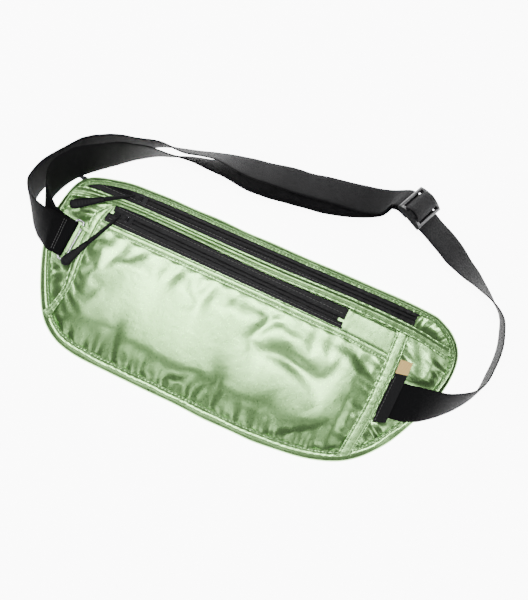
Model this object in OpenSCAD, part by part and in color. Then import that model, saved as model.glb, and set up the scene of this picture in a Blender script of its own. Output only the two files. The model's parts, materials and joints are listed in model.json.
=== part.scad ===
// Money belt: a flat silk pouch with two zipped pockets and a bound edge, a webbing strap
// doubled through a wire ring and a tri-glide adjuster, and cord zip pulls.
// The pouch lies on its back on z = 0. X runs along the zips, Y up the front, Z out of it.
// The origin is the middle of the pouch's back face. All lengths are millimetres.

/* [Pouch] */
// Width of the pouch, left edge to right edge
pouch_w = 286; // [284:0.5:288]
// Height of the pouch, bottom edge to top edge
pouch_h = 128; // [127:0.5:129]
// Thickness of the bound edge
edge_h = 5.8; // [5.8:0.1:6.2]
// Width of the binding on the front face, along the top
binding_top = 5; // [4.6:0.1:5.2]
// Width of the binding on the front face, along the bottom
binding_bottom = 8.4; // [7.5:0.1:9]
// Thickness of one layer of silk
silk_t = 0.5; // [0.4:0.05:0.55]
// Height of the fullness of the front pocket above its hem
pocket_fullness = 2.4; // [1.5:0.1:2.6]

/* [Zips] */
// Travel of the upper slider
upper_travel = 193; // [180:1:193]
// Travel of the lower slider
lower_travel = 146; // [130:1:146]
// Gap between the two coils of an open zip
zip_gap = 2; // [2:0.1:2.4]
// Width of one zip coil
coil_w = 1.6; // [1.4:0.1:1.6]
// Height of one zip coil
coil_h = 1.2; // [1:0.1:1.2]
// Length of a zip slider
slider_l = 7.4; // [6.8:0.1:7.6]
// Width of a zip slider
slider_w = 6.4; // [6.3:0.1:6.5]

/* [Strap] */
// Width of the webbing
web_w = 25.4; // [25:0.1:25.6]
// Thickness of the webbing
web_t = 1.2; // [1:0.1:1.2]
// Length of the adjuster along the strap
glide_l = 20; // [19:0.5:21]
// Width of the adjuster across the strap
glide_w = 31.6; // [31.4:0.1:33]

/* [Ring] */
// Radius of the ring's wire
wire_r = 0.9; // [0.8:0.05:0.9]
// Distance between the ring's two long bars
ring_gap = 5.2; // [5.2:0.1:6]
// Length of the ring's long bars
ring_l = 28.4; // [28:0.2:30]

/* [Label] */
// Thickness of the woven label
label_t = 0.4; // [0.3:0.05:0.5]

/* [Hidden] */
$fn = 32;

silk = [0.72, 0.86, 0.68];
tape_black = [0.2, 0.2, 0.21];
web_black = [0.11, 0.11, 0.11];
plastic_black = [0.16, 0.16, 0.17];
steel = [0.75, 0.76, 0.78];

// The plan was drawn at 286 x 128; plan() carries a list of its points to the chosen size.
sx = pouch_w / 286;
sy = pouch_h / 128;
function plan(list) = [for (p = list) [p[0] * sx, p[1] * sy]];

// Heights of the layers.
lip_t = 0.6;
back_z = lip_t + 0.1;
main_z = 3.9;
pocket_z = 6.45;
over_z = pocket_z + silk_t + 0.1;
trim_t = 0.6;

outline_points = plan([
    [-142, 3], [-143, 29], [-134, 52.5], [-112, 61.5], [-77, 64], [3, 63], [101, 62.2],
    [125, 58], [139, 46.5], [143, 31], [139.5, 11], [127, -19], [107, -46], [79, -59.5],
    [33, -64], [-37, -60.8], [-93, -57.5], [-117, -48.5], [-131, -28]
]);
band_upper_edge = plan([
    [-134.5, 47.5], [-127, 49.5], [-110, 50.3], [-87, 51], [3, 49.5], [63, 50], [106, 48.5],
    [123, 46], [133, 45]
]);
band_lower_edge = plan([
    [-137, 39], [-129, 41.5], [-109, 45], [-77, 45.5], [3, 42.6], [63, 42.7], [106, 41],
    [118, 39.5], [134, 36]
]);
left_trim_outer = plan([
    [-110, 44], [-117.5, 36], [-119, 25], [-119.8, 15], [-120, 5], [-118.5, -11], [-118, -20],
    [-121, -32], [-124, -38.5]
]);
left_trim_inner = plan([
    [-107, 44.5], [-111.5, 31], [-113, 15], [-113.5, 3], [-113, -15], [-116, -30], [-118.5, -42]
]);
right_trim_inner = plan([[96.5, 41.2], [97, 23], [96.5, 3], [95.5, -17], [91.5, -51]]);
right_trim_outer = plan([[105.5, 40.7], [106, 23], [105.5, 3], [104, -22], [100.5, -46.5]]);
pocket_bottom = plan([
    [-113, -47.5], [-93, -54.5], [-37, -57.8], [33, -61], [79, -56.5], [97, -48.5]
]);
pocket_hem = plan([[-114.5, 31.6], [-80, 31], [0, 29], [60, 27], [98, 23.4]]);

// Zip lines: [x, y, direction] of the slider at rest.
upper_zip = [-93 * sx, 55.5 * sy, -0.6];
lower_zip = [-96 * sx, 39.5 * sy, -2.2];
slider_z = [main_z, pocket_z];
plate_t = 0.6;
pin_r = 0.5;
pin_up = 1.3;
pin_z = silk_t + 0.1 + 0.7 + pin_up;
eye_x = -5.2;
loop_r = 1.25;
cord_r = 0.55;

// Zip pulls: [direction, cord length, grip length, rise at the cord's knee, where the grip
// starts, at the grip's end].
upper_pull = [211.6, 17, 24, 5.2, 6.3, 6.3];
lower_pull = [243.2, 26, 22, 0.3, 2.6, 4.6];

// Ring: its hinge bar runs along the left trim.
ring_at = [-122.6 * sx, 12.2 * sy, 7.6];
ring_turn = -6;
fold_leg = 3;

// Adjuster: centre, direction of its length and lean of its width.
glide_at = [78, 121, 13.4];
glide_turn = 153;
glide_lean = 45;
rail_w = 2.8;
bar_r = 1.3;
strap_depth = -2.1;
layer_pitch = 2.3;

// Strap path stations: outer edge [x, y, z], direction in which the raised edge lies, its lean.
right_end_path = [
    [100, -14.5, 5.6, 91, 0], [112, -14.2, 5.9, 91, 1], [122, -13, 6.9, 92, 6],
    [131, -9.8, 6.9, 94, 20]
];
left_over_path = [[-132.6, 0.4, 9.2, 84, 0], [-138, 1, 9, 87, 11], [-143.5, 3.6, 7.6, 90, 28]];
left_under_path = [[-132.6, 0.4, 6, 84, 0], [-138, 2.2, 6.9, 88, 7], [-143.5, 6, 6.8, 89, 20]];
single_path = [
    [133.4, -8.6, 6, 95, 25], [144, -1, 3, 100, 46], [154, 9.5, 1, 107, 63],
    [161, 22, 1, 128, 77], [163.2, 38, 1, 180, 88], [162.6, 58, 1, 180, 88],
    [157, 75.5, 1, 190, 86], [147, 87, 1, 212, 76], [131, 99.5, 1, 232, 58]
];
outer_path = [
    [-146, 5.3, 5.4, 90, 36], [-153, 12.5, 2, 97, 51], [-157, 22, 1, 112, 61],
    [-157.3, 33, 1, 125, 63], [-148, 51, 1, 139, 64], [-129, 73.5, 1, 126, 67],
    [-100, 90, 1, 63, 83], [-87, 95.3, 1, -41, 82], [-77, 98.7, 1, -66, 77],
    [-59, 103.7, 1, -66, 73], [-42, 108.4, 1, -77, 58], [-15, 113.2, 1, -81, 48],
    [15, 118, 1, -84, 44], [42, 122.7, 1, -87, 39], [57, 126.3, 2, -94, 40]
];
inner_path = [
    [-145.6, 9, 5.8, 88, 30], [-149, 16.5, 3.6, 92, 45], [-150.3, 26, 2, 106, 49],
    [-147.5, 38.5, 2, 121, 48], [-136, 55.5, 2, 126, 50], [-114.5, 74.5, 1.6, 118, 63],
    [-102.5, 82.8, 1, 104, 77], [-89, 88.6, 1, 0, 86], [-75, 94, 1, -82, 79],
    [-57, 99.3, 1.6, -82, 66], [-37, 104.6, 2, -82, 49], [-10, 109.8, 2.2, -84, 39],
    [25, 115.3, 2.4, -85, 38], [42, 120.6, 2.6, -87, 38]
];

label_corners = plan([[104.8, -20.5], [113.3, -17.5], [114.5, 16.5], [106.4, 15]]);
tip_corners = plan([[106.4, 15.2], [114.5, 16.7], [114.8, 25.7], [106.4, 24.8]]);

// ---- curves and ribbons ----

function spline(a, b, c, d, t) =
    0.5 * (2 * b + (c - a) * t + (2 * a - 5 * b + 4 * c - d) * t * t
    + (3 * b - a - 3 * c + d) * t * t * t);

function closed_curve(p, n) = let (m = len(p))
    [for (i = [0:m - 1]) for (k = [0:n - 1])
        spline(p[(i + m - 1) % m], p[i], p[(i + 1) % m], p[(i + 2) % m], k / n)];

function open_curve(p, n) = let (m = len(p)) concat(
    [for (i = [0:m - 2]) for (k = [0:n - 1])
        spline(p[max(i - 1, 0)], p[i], p[i + 1], p[min(i + 2, m - 1)], k / n)],
    [p[m - 1]]);

function reversed(p) = [for (i = [len(p) - 1:-1:0]) p[i]];
function unit(v) = v / norm(v);

// A closed plan curve drawn in by d_top along the top and d_bottom along the bottom.
function drawn_in(p, d_top, d_bottom) = let (m = len(p))
    [for (i = [0:m - 1])
        let (t = unit(p[(i + 1) % m] - p[(i + m - 1) % m]))
        let (s = min(1, max(0, (p[i][1] / (pouch_h / 2) + 1) / 2)))
        p[i] + [t[1], -t[0]] * (d_bottom + (d_top - d_bottom) * s)];

outline = closed_curve(outline_points, 4);

module slab(points, z, t) {
    translate([0, 0, z]) linear_extrude(t) polygon(points);
}

// A strip between two plan edges that run the same way.
module strip(edge_a, edge_b, z, t) {
    slab(concat(open_curve(edge_a, 3), reversed(open_curve(edge_b, 3))), z, t);
}

function edge_vector(s) =
    [s[0], s[1], s[2], cos(s[4]) * cos(s[3]), cos(s[4]) * sin(s[3]), sin(s[4])];

// A flat band swept through edge vectors: each is the outer edge and the way across the band.
// The whole band is shifted by lift along its own normal.
module ribbon(vectors, n, w, lift = 0) {
    q = open_curve(vectors, n);
    m = len(q);
    edge = [for (s = q) [s[0], s[1], s[2]]];
    across = [for (s = q) unit([s[3], s[4], s[5]])];
    middle = [for (i = [0:m - 1]) edge[i] + across[i] * w / 2];
    up = [for (i = [0:m - 1])
        unit(cross(middle[min(i + 1, m - 1)] - middle[max(i - 1, 0)], across[i]))];
    low = lift - web_t / 2;
    high = lift + web_t / 2;
    corners = [for (i = [0:m - 1]) each [
        edge[i] + up[i] * low, edge[i] + across[i] * w + up[i] * low,
        edge[i] + across[i] * w + up[i] * high, edge[i] + up[i] * high
    ]];
    sides = [for (i = [0:m - 2]) for (k = [0:3]) each [
        [i * 4 + k, i * 4 + 4 + k, i * 4 + 4 + (k + 1) % 4],
        [i * 4 + k, i * 4 + 4 + (k + 1) % 4, i * 4 + (k + 1) % 4]
    ]];
    last = (m - 1) * 4;
    polyhedron(corners, concat([[0, 1, 2, 3], [last + 3, last + 2, last + 1, last]], sides));
}

module webbing(path, n = 4) {
    color(web_black) ribbon([for (s = path) edge_vector(s)], n, web_w);
}

// Points and vectors of the adjuster's own frame, carried to the part's frame.
function turned(v) = let (a = glide_lean, h = glide_turn)
    let (p = [v[0], v[1] * cos(a) - v[2] * sin(a), v[1] * sin(a) + v[2] * cos(a)])
    [p[0] * cos(h) - p[1] * sin(h), p[0] * sin(h) + p[1] * cos(h), p[2]];

function glide_vector(x, shift, depth) =
    let (p = glide_at + turned([x, shift - web_w / 2, depth]), v = turned([0, 1, 0]))
    [p[0], p[1], p[2], v[0], v[1], v[2]];

module glide_frame() {
    translate(glide_at) rotate([glide_lean, 0, glide_turn]) children();
}

// ---- pouch ----

// Two layers: the back face inside the binding, and a flange that runs into the binding.
module back_panel() {
    color(silk) {
        slab(drawn_in(outline, binding_top + 0.2, binding_bottom + 0.2), 0, back_z + silk_t);
        slab(drawn_in(outline, 1.6, 1.6), back_z, silk_t);
    }
}

module edge_binding() {
    color(silk) difference() {
        slab(outline, 0, edge_h);
        slab(drawn_in(outline, 1.2, 1.2), lip_t, edge_h - 2 * lip_t);
        slab(drawn_in(outline, binding_top, binding_bottom), -1, edge_h + 2);
    }
}

module zip_frame(zip, z) {
    translate([zip[0], zip[1], z]) rotate([0, 0, zip[2]]) children();
}

// A block in a zip's own frame, from its lowest corner to its highest.
module zip_block(zip, z, low, high) {
    zip_frame(zip, z) translate(low) cube(high - low);
}

upper_left = -37.5;
upper_right = 200;
upper_coil_left = -24.5;
upper_below = 9;

module main_pocket_panel() {
    color(silk) difference() {
        slab(drawn_in(outline, 1.6, 1.6), main_z, silk_t);
        zip_block(upper_zip, main_z, [upper_left - 0.2, -upper_below - 0.1, -1],
            [upper_right + 0.2, 30, 2]);
    }
}

module upper_zip_tape_top() {
    color(tape_black) intersection() {
        slab(drawn_in(outline, 1.6, 1.6), main_z, silk_t);
        zip_block(upper_zip, main_z, [upper_left, zip_gap / 2, -1], [upper_right, 30, 2]);
    }
}

module upper_zip_tape_bottom() {
    color(tape_black) intersection() {
        slab(drawn_in(outline, 1.6, 1.6), main_z, silk_t);
        zip_block(upper_zip, main_z, [upper_left, -upper_below, -1],
            [upper_right, -zip_gap / 2, 2]);
    }
}

// Two coils, one each side of the gap, on the back of the tapes.
module coils(zip, z, from, to) {
    color(plastic_black) zip_frame(zip, z)
        for (side = [-1, 1])
            translate([from, side * (zip_gap / 2 + coil_w / 2), -0.05])
                rotate([0, 90, 0]) intersection() {
                    cylinder(h = to - from, r = coil_h - 0.05);
                    translate([0, -coil_w / 2, -1]) cube([coil_h, coil_w, to - from + 2]);
                }
}

module upper_zip_coils() {
    coils(upper_zip, main_z, upper_coil_left, upper_right - 2);
}

// The stretch behind the slider where the two coils are meshed.
module closed_chain(zip, z, from) {
    chain_w = zip_gap - 0.1;
    color(tape_black) zip_block(zip, z, [from, -chain_w / 2, -coil_h],
        [-slider_l / 2 - 0.3, chain_w / 2, silk_t + 0.05]);
}

module upper_zip_closed_chain() {
    closed_chain(upper_zip, main_z, upper_coil_left);
}

// A stop crimped over the coils at each end of the slider's travel.
module stops(zip, z, from, travel) {
    color(plastic_black) {
        zip_block(zip, z, [from, -zip_gap / 2 - coil_w, -coil_h - 0.5],
            [from + 1.4, zip_gap / 2 + coil_w, -coil_h - 0.05]);
        zip_block(zip, z, [travel + slider_l / 2 + 0.5, -zip_gap / 2 + 0.05, -coil_h],
            [travel + slider_l / 2 + 1.9, zip_gap / 2 - 0.05, silk_t + 0.4]);
    }
}

module upper_zip_stops() {
    stops(upper_zip, main_z, upper_coil_left + 1, upper_travel);
}

module middle_band() {
    color(silk) strip(band_upper_edge, band_lower_edge, over_z, trim_t);
}

lower_left = -11;
lower_right = 154;

module lower_zip_tape_top() {
    edge = [for (p = open_curve(band_lower_edge, 3)) [p[0], p[1] - 0.2]];
    color(tape_black) intersection() {
        slab(concat([[-150, 0]], edge, [[150, 0]]), pocket_z, silk_t);
        zip_block(lower_zip, pocket_z, [lower_left, zip_gap / 2, -1],
            [lower_right + 4, 30, 2]);
    }
}

module lower_zip_tape_bottom() {
    hem = [for (p = pocket_hem) [p[0], p[1] + 0.2]];
    color(tape_black) intersection() {
        slab(concat([[-120, 80]], hem, [[120, 80]]), pocket_z, silk_t);
        zip_block(lower_zip, pocket_z, [lower_left - 3, -30, -1],
            [lower_right + 4, -zip_gap / 2, 2]);
    }
}

module lower_zip_coils() {
    coils(lower_zip, pocket_z, lower_left + 1, lower_right);
}

module lower_zip_closed_chain() {
    closed_chain(lower_zip, pocket_z, lower_left + 1);
}

module lower_zip_stops() {
    stops(lower_zip, pocket_z, lower_left + 1.5, lower_travel);
}

module zip_end_patch() {
    corners = plan([[62.9, 42.4], [96.2, 41.2], [96.2, 24], [62.4, 27.3]]);
    color(silk) slab(corners, pocket_z, silk_t);
}

// The front pocket: flat under the bottom binding, then a shallow dome up to its hem.
module front_pocket_panel() {
    columns = 28;
    rows = 20;
    flat_share = 0.1;
    low = open_curve(pocket_bottom, 6);
    high = open_curve(pocket_hem, 6);
    base_z = main_z + silk_t + 0.15;
    rise = pocket_z - base_z;
    top = [for (j = [0:rows]) for (i = [0:columns])
        let (u = i / columns, v = j / rows)
        let (a = lerp_point(low, u), b = lerp_point(high, u))
        let (s = max(0, v - flat_share) / (1 - flat_share), step = min(1, s * 4))
        let (z = base_z + rise * step * step * (3 - 2 * step)
            + pocket_fullness * pow(sin(180 * u), 2) * sin(180 * s))
        [a[0] + (b[0] - a[0]) * v, a[1] + (b[1] - a[1]) * v, z + silk_t]];
    under = [for (p = top) [p[0], p[1], p[2] - silk_t]];
    n = columns + 1;
    count = len(top);
    cells = [for (j = [0:rows - 1]) for (i = [0:columns - 1]) j * n + i];
    rim = concat(
        [for (i = [0:columns - 1]) [i, i + 1]],
        [for (j = [0:rows - 1]) [j * n + columns, (j + 1) * n + columns]],
        [for (i = [columns - 1:-1:0]) [rows * n + i + 1, rows * n + i]],
        [for (j = [rows - 1:-1:0]) [(j + 1) * n, j * n]]);
    faces = concat(
        [for (c = cells) each [[c, c + n, c + n + 1], [c, c + n + 1, c + 1]]],
        [for (c = cells) each [
            [c + count, c + n + 1 + count, c + n + count],
            [c + count, c + 1 + count, c + n + 1 + count]]],
        [for (e = rim) each [
            [e[0], e[1], e[1] + count], [e[0], e[1] + count, e[0] + count]]]);
    color(silk) polyhedron(concat(top, under), faces);
}

// The point a share s of the way along a list of points.
function lerp_point(p, s) = let (f = s * (len(p) - 1), i = min(floor(f), len(p) - 2))
    p[i] + (p[i + 1] - p[i]) * (f - i);

module left_trim() {
    color(silk) strip(left_trim_outer, left_trim_inner, over_z, trim_t);
}

module right_trim() {
    color(silk) strip(right_trim_inner, right_trim_outer, over_z, trim_t);
}

// ---- ring and its tab ----

module ring_frame() {
    translate(ring_at) rotate([0, 0, ring_turn]) children();
}

tab_t = 0.8;
tab_bore = wire_r + 0.08;

// Two narrow ribbon loops hold the hinge bar near its ends; their tongues run under the trim.
module ring_tab() {
    color(web_black) ring_frame()
        for (y = [-11.2, 9.4])
            translate([0, y, 0]) difference() {
                union() {
                    rotate([-90, 0, 0]) cylinder(h = 2.6, r = tab_bore + tab_t);
                    translate([0, 0, -tab_bore - tab_t]) cube([6, 2.6, tab_t]);
                }
                translate([0, -1, 0]) rotate([-90, 0, 0]) cylinder(h = 5, r = tab_bore);
            }
}

module ring() {
    bend = 1.6;
    straight = ring_l - 2 * bend;
    color(steel) ring_frame() {
        for (x = [0, -ring_gap])
            translate([x, -straight / 2, 0]) rotate([-90, 0, 0]) cylinder(h = straight, r = wire_r);
        for (y = [-ring_l / 2, ring_l / 2])
            translate([-ring_gap + bend, y, 0]) rotate([0, 90, 0])
                cylinder(h = ring_gap - 2 * bend, r = wire_r);
        for (corner = [[-bend, 1, 0], [-ring_gap + bend, 1, 90], [-ring_gap + bend, -1, 180],
                [-bend, -1, 270]])
            translate([corner[0], corner[1] * (ring_l / 2 - bend), 0]) rotate([0, 0, corner[2]])
                rotate_extrude(angle = 90) translate([bend, 0]) circle(wire_r);
    }
}

module webbing_ring_fold() {
    inner_r = wire_r + 0.1;
    outer_r = inner_r + web_t;
    color(web_black) ring_frame() translate([-ring_gap, web_w / 2, 0]) rotate([90, 0, 0])
        linear_extrude(web_w) difference() {
            union() {
                circle(outer_r);
                translate([-fold_leg, -outer_r]) square([fold_leg, 2 * outer_r]);
            }
            circle(inner_r);
            translate([-fold_leg - 1, -inner_r]) square([fold_leg + 1, 2 * inner_r]);
        }
}

// ---- webbing ----

module webbing_right_end() {
    webbing(right_end_path);
}

module webbing_left_over() {
    webbing(left_over_path, 6);
}

module webbing_left_under() {
    webbing(left_under_path, 6);
}

module webbing_single() {
    vectors = concat([for (s = single_path) edge_vector(s)],
        [glide_vector(-37, 0, strap_depth), glide_vector(-18, 0, strap_depth),
         glide_vector(-0.1, 0, strap_depth)]);
    color(web_black) ribbon(vectors, 5, web_w);
}

// The strap's last stretch up to the adjuster, which both layers share.
at_glide_in = glide_vector(13, 1.6, strap_depth - 3.1);
at_glide_bar = glide_vector(8.5, 0.6, strap_depth - 0.5);
at_glide_middle = glide_vector(0.1, 0, strap_depth);

module webbing_outer() {
    vectors = [for (s = outer_path) edge_vector(s)];
    color(web_black)
        ribbon(concat(vectors, [at_glide_in, at_glide_bar, at_glide_middle]), 4, web_w);
}

module webbing_inner() {
    shared = edge_vector(outer_path[len(outer_path) - 1]);
    last = glide_vector(13.6, 1.7, strap_depth - 3.7);
    vectors = concat([for (s = inner_path) edge_vector(s)], [shared, last]);
    color(web_black) ribbon(vectors, 4, web_w, layer_pitch);
}

// ---- adjuster ----

// A tri-glide: two arched rails, two round outer bars and a flat centre bar.
module tri_glide() {
    bar_x = glide_l / 2 - bar_r;
    color(plastic_black) glide_frame() {
        for (side = [-1, 1])
            translate([0, side * (glide_w / 2 - rail_w / 2) + rail_w / 2, 0]) rotate([90, 0, 0])
                linear_extrude(rail_w) intersection() {
                    translate([-glide_l / 2, -bar_r]) square([glide_l, 6]);
                    translate([0, -17.6]) circle(r = 20.8, $fn = 96);
                }
        for (x = [-bar_x, bar_x])
            translate([x, -glide_w / 2 + 0.5, 0]) rotate([-90, 0, 0])
                cylinder(h = glide_w - 1, r = bar_r);
        translate([-1.6, -glide_w / 2 + 0.5, -1.2]) cube([3.2, glide_w - 1, 2.4]);
    }
}

// An upside-down U of webbing over the centre bar: r is its inner radius, rise its centre.
module bar_wrap(r, rise) {
    outer_r = r + web_t;
    leg = rise + bar_r;
    glide_frame() translate([0, web_w / 2, 0]) rotate([90, 0, 0]) linear_extrude(web_w)
        difference() {
            union() {
                translate([0, rise]) intersection() {
                    circle(outer_r);
                    translate([-outer_r, 0]) square([2 * outer_r, outer_r]);
                }
                translate([-outer_r, -bar_r]) square([2 * outer_r, leg]);
            }
            translate([0, rise]) circle(r);
            translate([-r, -bar_r - 1]) square([2 * r, leg + 1]);
        }
}

module webbing_bar_loop() {
    color(web_black) bar_wrap(2.1, 0.1);
}

module webbing_bar_turn() {
    color(web_black) bar_wrap(3.5, 0.3);
}

module webbing_inner_end() {
    start = glide_vector(12.4, 1.5, strap_depth - 2.7);
    color(web_black)
        ribbon([start, at_glide_bar, glide_vector(1, 0, strap_depth)], 4, web_w, layer_pitch);
}

// ---- zip sliders and pulls ----

module slider(zip, z) {
    plate = [slider_l, slider_w];
    color(plastic_black) zip_frame(zip, z) {
        for (level = [[-coil_h - 0.1 - plate_t, plate_t], [silk_t + 0.1, 0.7]])
            translate([0, 0, level[0]]) linear_extrude(level[1]) slider_plan(plate);
        translate([1.2, -0.8, -coil_h - 0.2]) cube([1.8, 1.6, coil_h + silk_t + 0.4]);
        for (side = [-1, 1])
            translate([-2.6, side * (slider_w / 2 - 0.2) - 0.2, -coil_h - 0.2])
                cube([5.2, 0.4, coil_h]);
        difference() {
            for (side = [-1, 1])
                translate([-1.3, side * 2.05 - 0.35, silk_t + 0.7])
                    cube([2.6, 0.7, pin_up + 1.1]);
            translate([0, 3, pin_z]) rotate([90, 0, 0]) cylinder(h = 6, r = pin_r + 0.05);
        }
    }
}

// A slider's plate: a rectangle with its tail narrowed to a half round.
module slider_plan(plate) {
    union() {
        translate([-plate[0] / 2 + 2.4, -plate[1] / 2]) square([plate[0] - 2.4, plate[1]]);
        translate([-plate[0] / 2 + 2.4, 0]) intersection() {
            circle(plate[1] / 2);
            translate([-2.4, -plate[1] / 2]) square([2.5, plate[1]]);
        }
    }
}

module slider_pin(zip, z) {
    color(steel) zip_frame(zip, z) translate([0, 2.4, pin_z]) rotate([90, 0, 0])
        cylinder(h = 4.8, r = pin_r);
}

module pull_tab(zip, z) {
    rim = 0.8;
    color(plastic_black) zip_frame(zip, z) translate([0, 0, pin_z]) difference() {
        union() {
            translate([0, 1.6, 0]) rotate([90, 0, 0]) cylinder(h = 3.2, r = 1);
            translate([eye_x + loop_r, -1, -0.4]) cube([-eye_x - loop_r, 2, 0.8]);
            translate([eye_x, 0, -0.4]) cylinder(h = 0.8, r = loop_r + rim / 2);
        }
        translate([0, 2, 0]) rotate([90, 0, 0]) cylinder(h = 4, r = pin_r + 0.08);
        translate([eye_x, 0, -1]) cylinder(h = 2, r = loop_r - rim / 2);
    }
}

// The pull's own frame: origin in the cord's loop through the tab, X along the pull.
module pull_frame(zip, z, pull) {
    zip_frame(zip, z) translate([eye_x, 0, pin_z]) rotate([0, 0, pull[0] - zip[2]])
        translate([loop_r, 0, 0]) children();
}

// A round cord of radius r swept along points that keep near the XZ plane.
module tube(points, r, sides) {
    m = len(points);
    along = [for (i = [0:m - 1]) unit(points[min(i + 1, m - 1)] - points[max(i - 1, 0)])];
    skin = [for (i = [0:m - 1])
        let (a = unit(cross(along[i], [0, 1, 0])), b = cross(along[i], a))
        for (k = [0:sides - 1])
            points[i] + r * (cos(360 * k / sides) * a + sin(360 * k / sides) * b)];
    walls = [for (i = [0:m - 2]) for (k = [0:sides - 1])
        let (c = i * sides + k, d = i * sides + (k + 1) % sides)
        each [[c, c + sides, d + sides], [c, d + sides, d]]];
    start = [for (k = [0:sides - 1]) k];
    end = [for (k = [sides - 1:-1:0]) (m - 1) * sides + k];
    polyhedron(skin, concat([start, end], walls));
}

// The cord comes out of the grip, round the tab's eye and back into the grip.
module pull_cord(zip, z, pull) {
    run = pull[1] + 2;
    knee = [run * 0.55, pull[3]];
    tilt = atan2(knee[1], knee[0]);
    strands = [for (side = [1, -1]) [
        [run, side * 0.7, pull[4] + side * 0.2],
        [knee[0], side * 0.3, knee[1] + side * 0.75]
    ]];
    loop = [for (a = [90:30:270]) loop_r * [cos(a + tilt), 0, sin(a + tilt)]];
    path = concat(strands[0], loop, [strands[1][1], strands[1][0]]);
    color(web_black) pull_frame(zip, z, pull) tube(open_curve(path, 2), cord_r, 10);
}

// A moulded grip: a flat tongue that widens to its round end.
module pull_grip(zip, z, pull) {
    color(web_black) pull_frame(zip, z, pull) hull() {
        translate([pull[1] + 1.6, 0, pull[4]]) scale([1, 1.5, 0.95]) sphere(1.6, $fn = 20);
        translate([pull[1] + pull[2] - 3.3, 0, pull[5]]) scale([1, 1, 0.48])
            sphere(3.3, $fn = 24);
    }
}

module upper_slider() {
    slider(upper_zip, slider_z[0]);
}

module upper_slider_pin() {
    slider_pin(upper_zip, slider_z[0]);
}

module upper_pull_tab() {
    pull_tab(upper_zip, slider_z[0]);
}

module upper_pull_cord() {
    pull_cord(upper_zip, slider_z[0], upper_pull);
}

module upper_pull_grip() {
    pull_grip(upper_zip, slider_z[0], upper_pull);
}

module lower_slider() {
    slider(lower_zip, slider_z[1]);
}

module lower_slider_pin() {
    slider_pin(lower_zip, slider_z[1]);
}

module lower_pull_tab() {
    pull_tab(lower_zip, slider_z[1]);
}

module lower_pull_cord() {
    pull_cord(lower_zip, slider_z[1], lower_pull);
}

module lower_pull_grip() {
    pull_grip(lower_zip, slider_z[1], lower_pull);
}

// ---- label ----

label_z = over_z + trim_t + 0.2;

module woven_label() {
    color(web_black) slab(label_corners, label_z, label_t);
}

module label_tip() {
    color([0.93, 0.8, 0.58]) slab(tip_corners, label_z, label_t);
}

back_panel();
edge_binding();
main_pocket_panel();
upper_zip_tape_top();
upper_zip_tape_bottom();
upper_zip_coils();
upper_zip_closed_chain();
upper_zip_stops();
middle_band();
lower_zip_tape_top();
lower_zip_tape_bottom();
lower_zip_coils();
lower_zip_closed_chain();
lower_zip_stops();
zip_end_patch();
front_pocket_panel();
left_trim();
right_trim();
ring_tab();
webbing_right_end();
webbing_left_over();
webbing_left_under();
ring();
webbing_ring_fold();
webbing_single();
webbing_outer();
webbing_inner();
tri_glide();
webbing_bar_loop();
webbing_bar_turn();
webbing_inner_end();
upper_slider();
upper_slider_pin();
upper_pull_tab();
upper_pull_cord();
upper_pull_grip();
lower_slider();
lower_slider_pin();
lower_pull_tab();
lower_pull_cord();
lower_pull_grip();
woven_label();
label_tip();
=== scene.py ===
import json
import math
import random

import bmesh
import bpy
import numpy as np
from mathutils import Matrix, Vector


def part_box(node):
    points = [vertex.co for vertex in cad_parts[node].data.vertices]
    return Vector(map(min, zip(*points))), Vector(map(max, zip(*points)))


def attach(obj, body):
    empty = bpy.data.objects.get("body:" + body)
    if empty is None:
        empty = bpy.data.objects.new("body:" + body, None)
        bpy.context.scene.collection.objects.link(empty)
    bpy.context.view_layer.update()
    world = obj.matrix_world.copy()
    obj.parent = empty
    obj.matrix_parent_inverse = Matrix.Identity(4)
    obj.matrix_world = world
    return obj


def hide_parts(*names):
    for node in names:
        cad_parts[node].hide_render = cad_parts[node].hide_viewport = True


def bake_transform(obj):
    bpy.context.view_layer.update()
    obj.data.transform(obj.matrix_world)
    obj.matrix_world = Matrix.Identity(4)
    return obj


# Money belt: the looks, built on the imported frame. Lengths are metres; MM turns millimetres
# into metres. Curves and places are read from the frame's own nodes.
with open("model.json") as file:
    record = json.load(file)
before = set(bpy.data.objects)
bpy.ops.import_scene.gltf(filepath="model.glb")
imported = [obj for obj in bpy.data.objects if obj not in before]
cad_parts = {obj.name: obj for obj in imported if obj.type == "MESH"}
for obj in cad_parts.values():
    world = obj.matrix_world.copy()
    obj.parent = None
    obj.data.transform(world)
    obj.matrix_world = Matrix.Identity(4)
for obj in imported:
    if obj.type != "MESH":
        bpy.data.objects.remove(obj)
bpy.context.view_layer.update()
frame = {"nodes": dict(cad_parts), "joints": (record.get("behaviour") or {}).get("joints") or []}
nodes = frame["nodes"]
joints = {joint["name"]: joint for joint in frame["joints"]}
MM = 0.001
UP = np.array([0.0, 0.0, 1.0])


# ---------------------------------------------------------------- reading the frame

def welded(node):
    """A node's mesh with its doubled vertices joined."""
    mesh = bmesh.new()
    mesh.from_mesh(nodes[node].data)
    bmesh.ops.remove_doubles(mesh, verts=mesh.verts, dist=1e-6)
    mesh.verts.index_update()
    return mesh


def chains(edges):
    """Edges joined end to end, as lists of points; a closed one doesn't repeat its first."""
    links = {}
    spots = {}
    for edge in edges:
        a, b = edge.verts
        spots[a.index], spots[b.index] = a.co.copy(), b.co.copy()
        links.setdefault(a.index, []).append(b.index)
        links.setdefault(b.index, []).append(a.index)
    found = []
    while links:
        ends = [v for v, near in links.items() if len(near) == 1]
        here = min(ends or links, key=lambda v: (round(spots[v].x, 5), round(spots[v].y, 5)))
        line = [here]
        while True:
            near = [v for v in links[here] if v in links and v not in line[-2:-1]]
            following = [v for v in near if v not in line]
            if not following:
                break
            here = following[0]
            line.append(here)
        for v in line:
            links.pop(v)
        found.append(np.array([spots[v] for v in line]))
    return sorted(found, key=lambda line: -path_length(line))


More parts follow.
